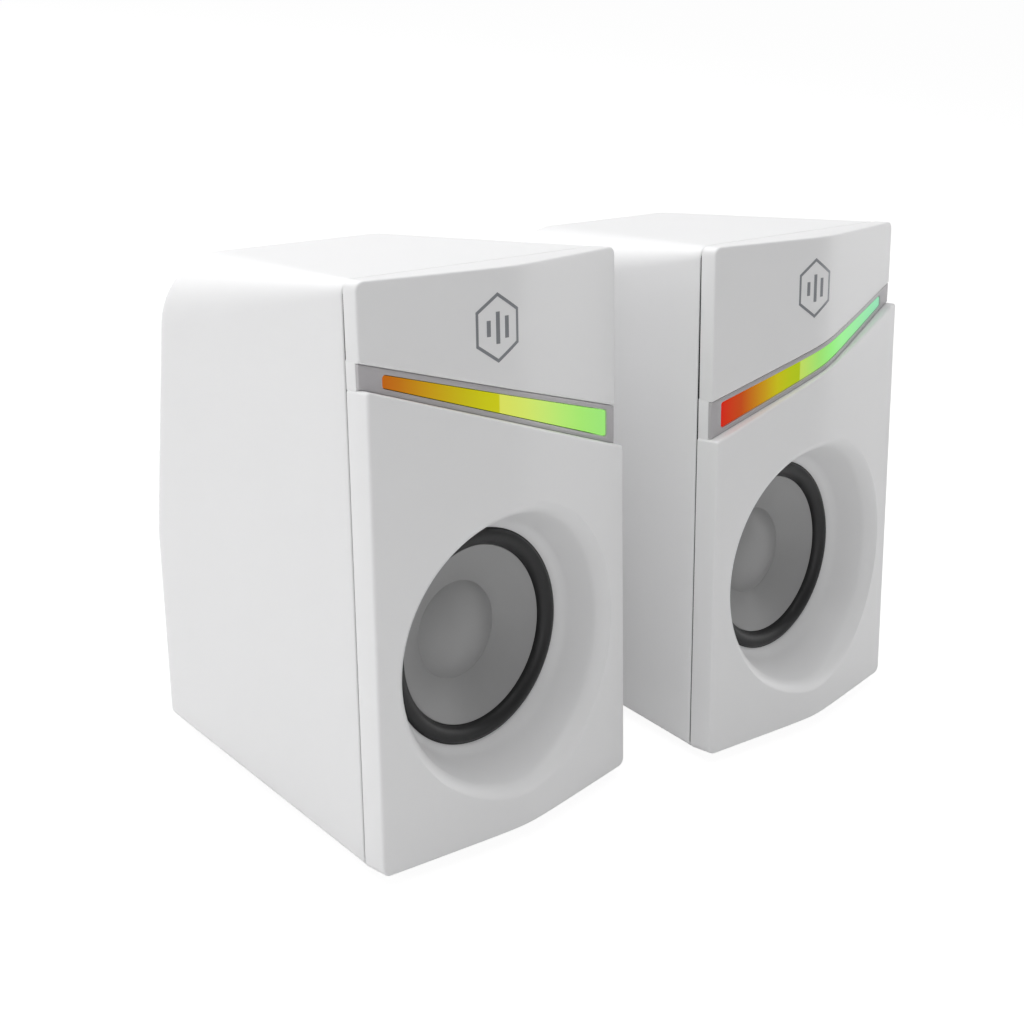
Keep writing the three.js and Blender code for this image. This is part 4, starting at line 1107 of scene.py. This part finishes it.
# The 3.5 mm sockets are plastic barrels, green for sound and black for the link, with a plated sleeve
# inside. They are pushed through bores in the rear plate.
SOCKETS = {
    "right_audio_jack": ("right", AUDIO_AT, (0.10, 0.42, 0.10, 1)),
    "right_link_jack": ("right", LINK_AT, (0.03, 0.03, 0.03, 1)),
    "left_link_jack": ("left", PASSIVE_AT, (0.03, 0.03, 0.03, 1)),
}
for socket_name, (speaker, at, color) in SOCKETS.items():
    mouth = PLATE_FACE + 0.6
    profile = [(0, mouth - 12), (BARREL_RADIUS, mouth - 12), (BARREL_RADIUS, mouth - 0.25), (3.65, mouth),
               (3.1, mouth), (2.9, mouth - 0.35), (2.3, mouth - 0.45), (2.0, mouth - 0.9),
               (1.8, mouth - 1.2), (1.8, mouth - 10.5), (0, mouth - 10.5)]
    collar, _, _, _ = grained(socket_name + "_collar", color, 0.4, 2200, 0.06, 0.2)
    jack = finished(spun(profile, 64, *at), socket_name + "_barrel", speaker, collar)
    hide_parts(socket_name)
    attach(jack, "cases")
    section = [(1.75, mouth - 1.4), (1.75, mouth - 9), (1.6, mouth - 9), (1.6, mouth - 1.4)]
    section.append(section[0])
    sleeve = finished(spun(section, 48, *at), socket_name + "_sleeve", speaker, zinc)
    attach(sleeve, "cases")

# The power socket is a flat shell of plated steel with a black plastic tongue. It stands in its own opening
# in the rear plate.
shell = bmesh.new()
rounded_slab(shell, POWER_WIDTH, POWER_HEIGHT, POWER_HEIGHT / 2 - 0.05, POWER_AT[0],
             POWER_AT[1] - POWER_HEIGHT / 2, PLATE_FACE - 8, PLATE_FACE + 0.2)
room_inside = bmesh.new()
rounded_slab(room_inside, POWER_WIDTH - 1, POWER_HEIGHT - 1, POWER_HEIGHT / 2 - 0.55, POWER_AT[0],
             POWER_AT[1] - POWER_HEIGHT / 2 + 0.5, PLATE_FACE - 7, PLATE_FACE + 1)
shell = cut(shell, room_inside)
power = finished(shell, "right_power_shell", "right", zinc)
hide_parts("right_power_socket")
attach(power, "cases")
tongue = bmesh.new()
block(tongue, (POWER_AT[0], PLATE_FACE - 3.9, POWER_AT[1]), (POWER_WIDTH - 3, 6.2, 0.7))
ease(tongue, tongue.edges[:], 0.12)
contact = finished(tongue, "right_power_tongue", "right", black_plastic)
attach(contact, "cases")

# Inside, behind the plate, are the green amplifier board and the plated potentiometer that the knob turns.
# Both stay as the solids say.
nodes["right_amp_board"].material_slots[0].material = board_green
nodes["right_potentiometer"].material_slots[0].material = zinc

# Four cross-head screws of blackened steel hold each panel's posts to the rear of the case, down in their
# wells. Each head is a low dome with a cross cut into it.
SCREW_LENGTH = 11.0
SHANK_RADIUS = 1.3
SLIT_DEPTH = 1.8
screw_steel, _, _, screw_surface = grained("screw_steel", (0.10, 0.10, 0.105, 1), 0.35, 1800, 0.08, 0.3)
screw_surface.inputs["Metallic"].default_value = 0.9
for speaker in SPEAKERS:
    for number, (x, z) in enumerate(post_places, 1):
        under = rear_depth(z) - SCREW_SINK - SCREW_HEAD_HEIGHT
        crest = under + SCREW_HEAD_HEIGHT
        profile = [(0, under - SCREW_LENGTH), (0.4, under - SCREW_LENGTH), (SHANK_RADIUS, under - 9.6),
                   (SHANK_RADIUS, under), (SCREW_HEAD_RADIUS, under), (SCREW_HEAD_RADIUS, under + 0.5)]
        for step in range(1, 8):
            a = math.radians(90 * step / 8)
            profile.append((SCREW_HEAD_RADIUS * math.cos(a) ** 0.7, under + 0.5 + 1.5 * math.sin(a)))
        profile.append((0, crest))
        bolt = spun(profile, 40, x, z)
        outward(bolt)
        for wide, tall in ((2.6, 0.6), (0.6, 2.5)):
            slit = bmesh.new()
            block(slit, (x, crest, z), (wide, SLIT_DEPTH, tall))
            bolt = cut(bolt, slit)
        screw = finished(bolt, f"{speaker}_screw_{number}", speaker, screw_steel, 40)
        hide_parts(f"{speaker}_case_screw_{number}")
        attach(screw, "cases")

# Four soft black rubber feet are stuck to the underside of each case. Each is a round pad, and its lower
# edge is eased.
FOOT_RADIUS = 5.0
foot_rubber, _, _, _ = grained("foot_rubber", (0.025, 0.025, 0.025, 1), 0.8, 1500, 0.2, 0.2)
for speaker in SPEAKERS:
    for number in range(1, 5):
        low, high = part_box(f"{speaker}_foot_{number}")
        middle = (low + high) / 2
        depth = (high.z - low.z) * 1000
        profile = [(0, 0), (4.2, 0), (4.6, 0.12), (4.85, 0.4), (FOOT_RADIUS, 0.9),
                   (FOOT_RADIUS, depth), (0, depth)]
        pad = spun(profile, 64)
        upright = Matrix.Scale(0.001, 4) @ Matrix.Rotation(math.pi / 2, 4, "X")
        standing = Matrix.Translation((middle.x, middle.y, low.z)) @ upright
        bmesh.ops.transform(pad, matrix=standing, verts=pad.verts)
        foot = finished(pad, f"{speaker}_foot_pad_{number}", None, foot_rubber)
        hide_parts(f"{speaker}_foot_{number}")
        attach(foot, "cases")

low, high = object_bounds()
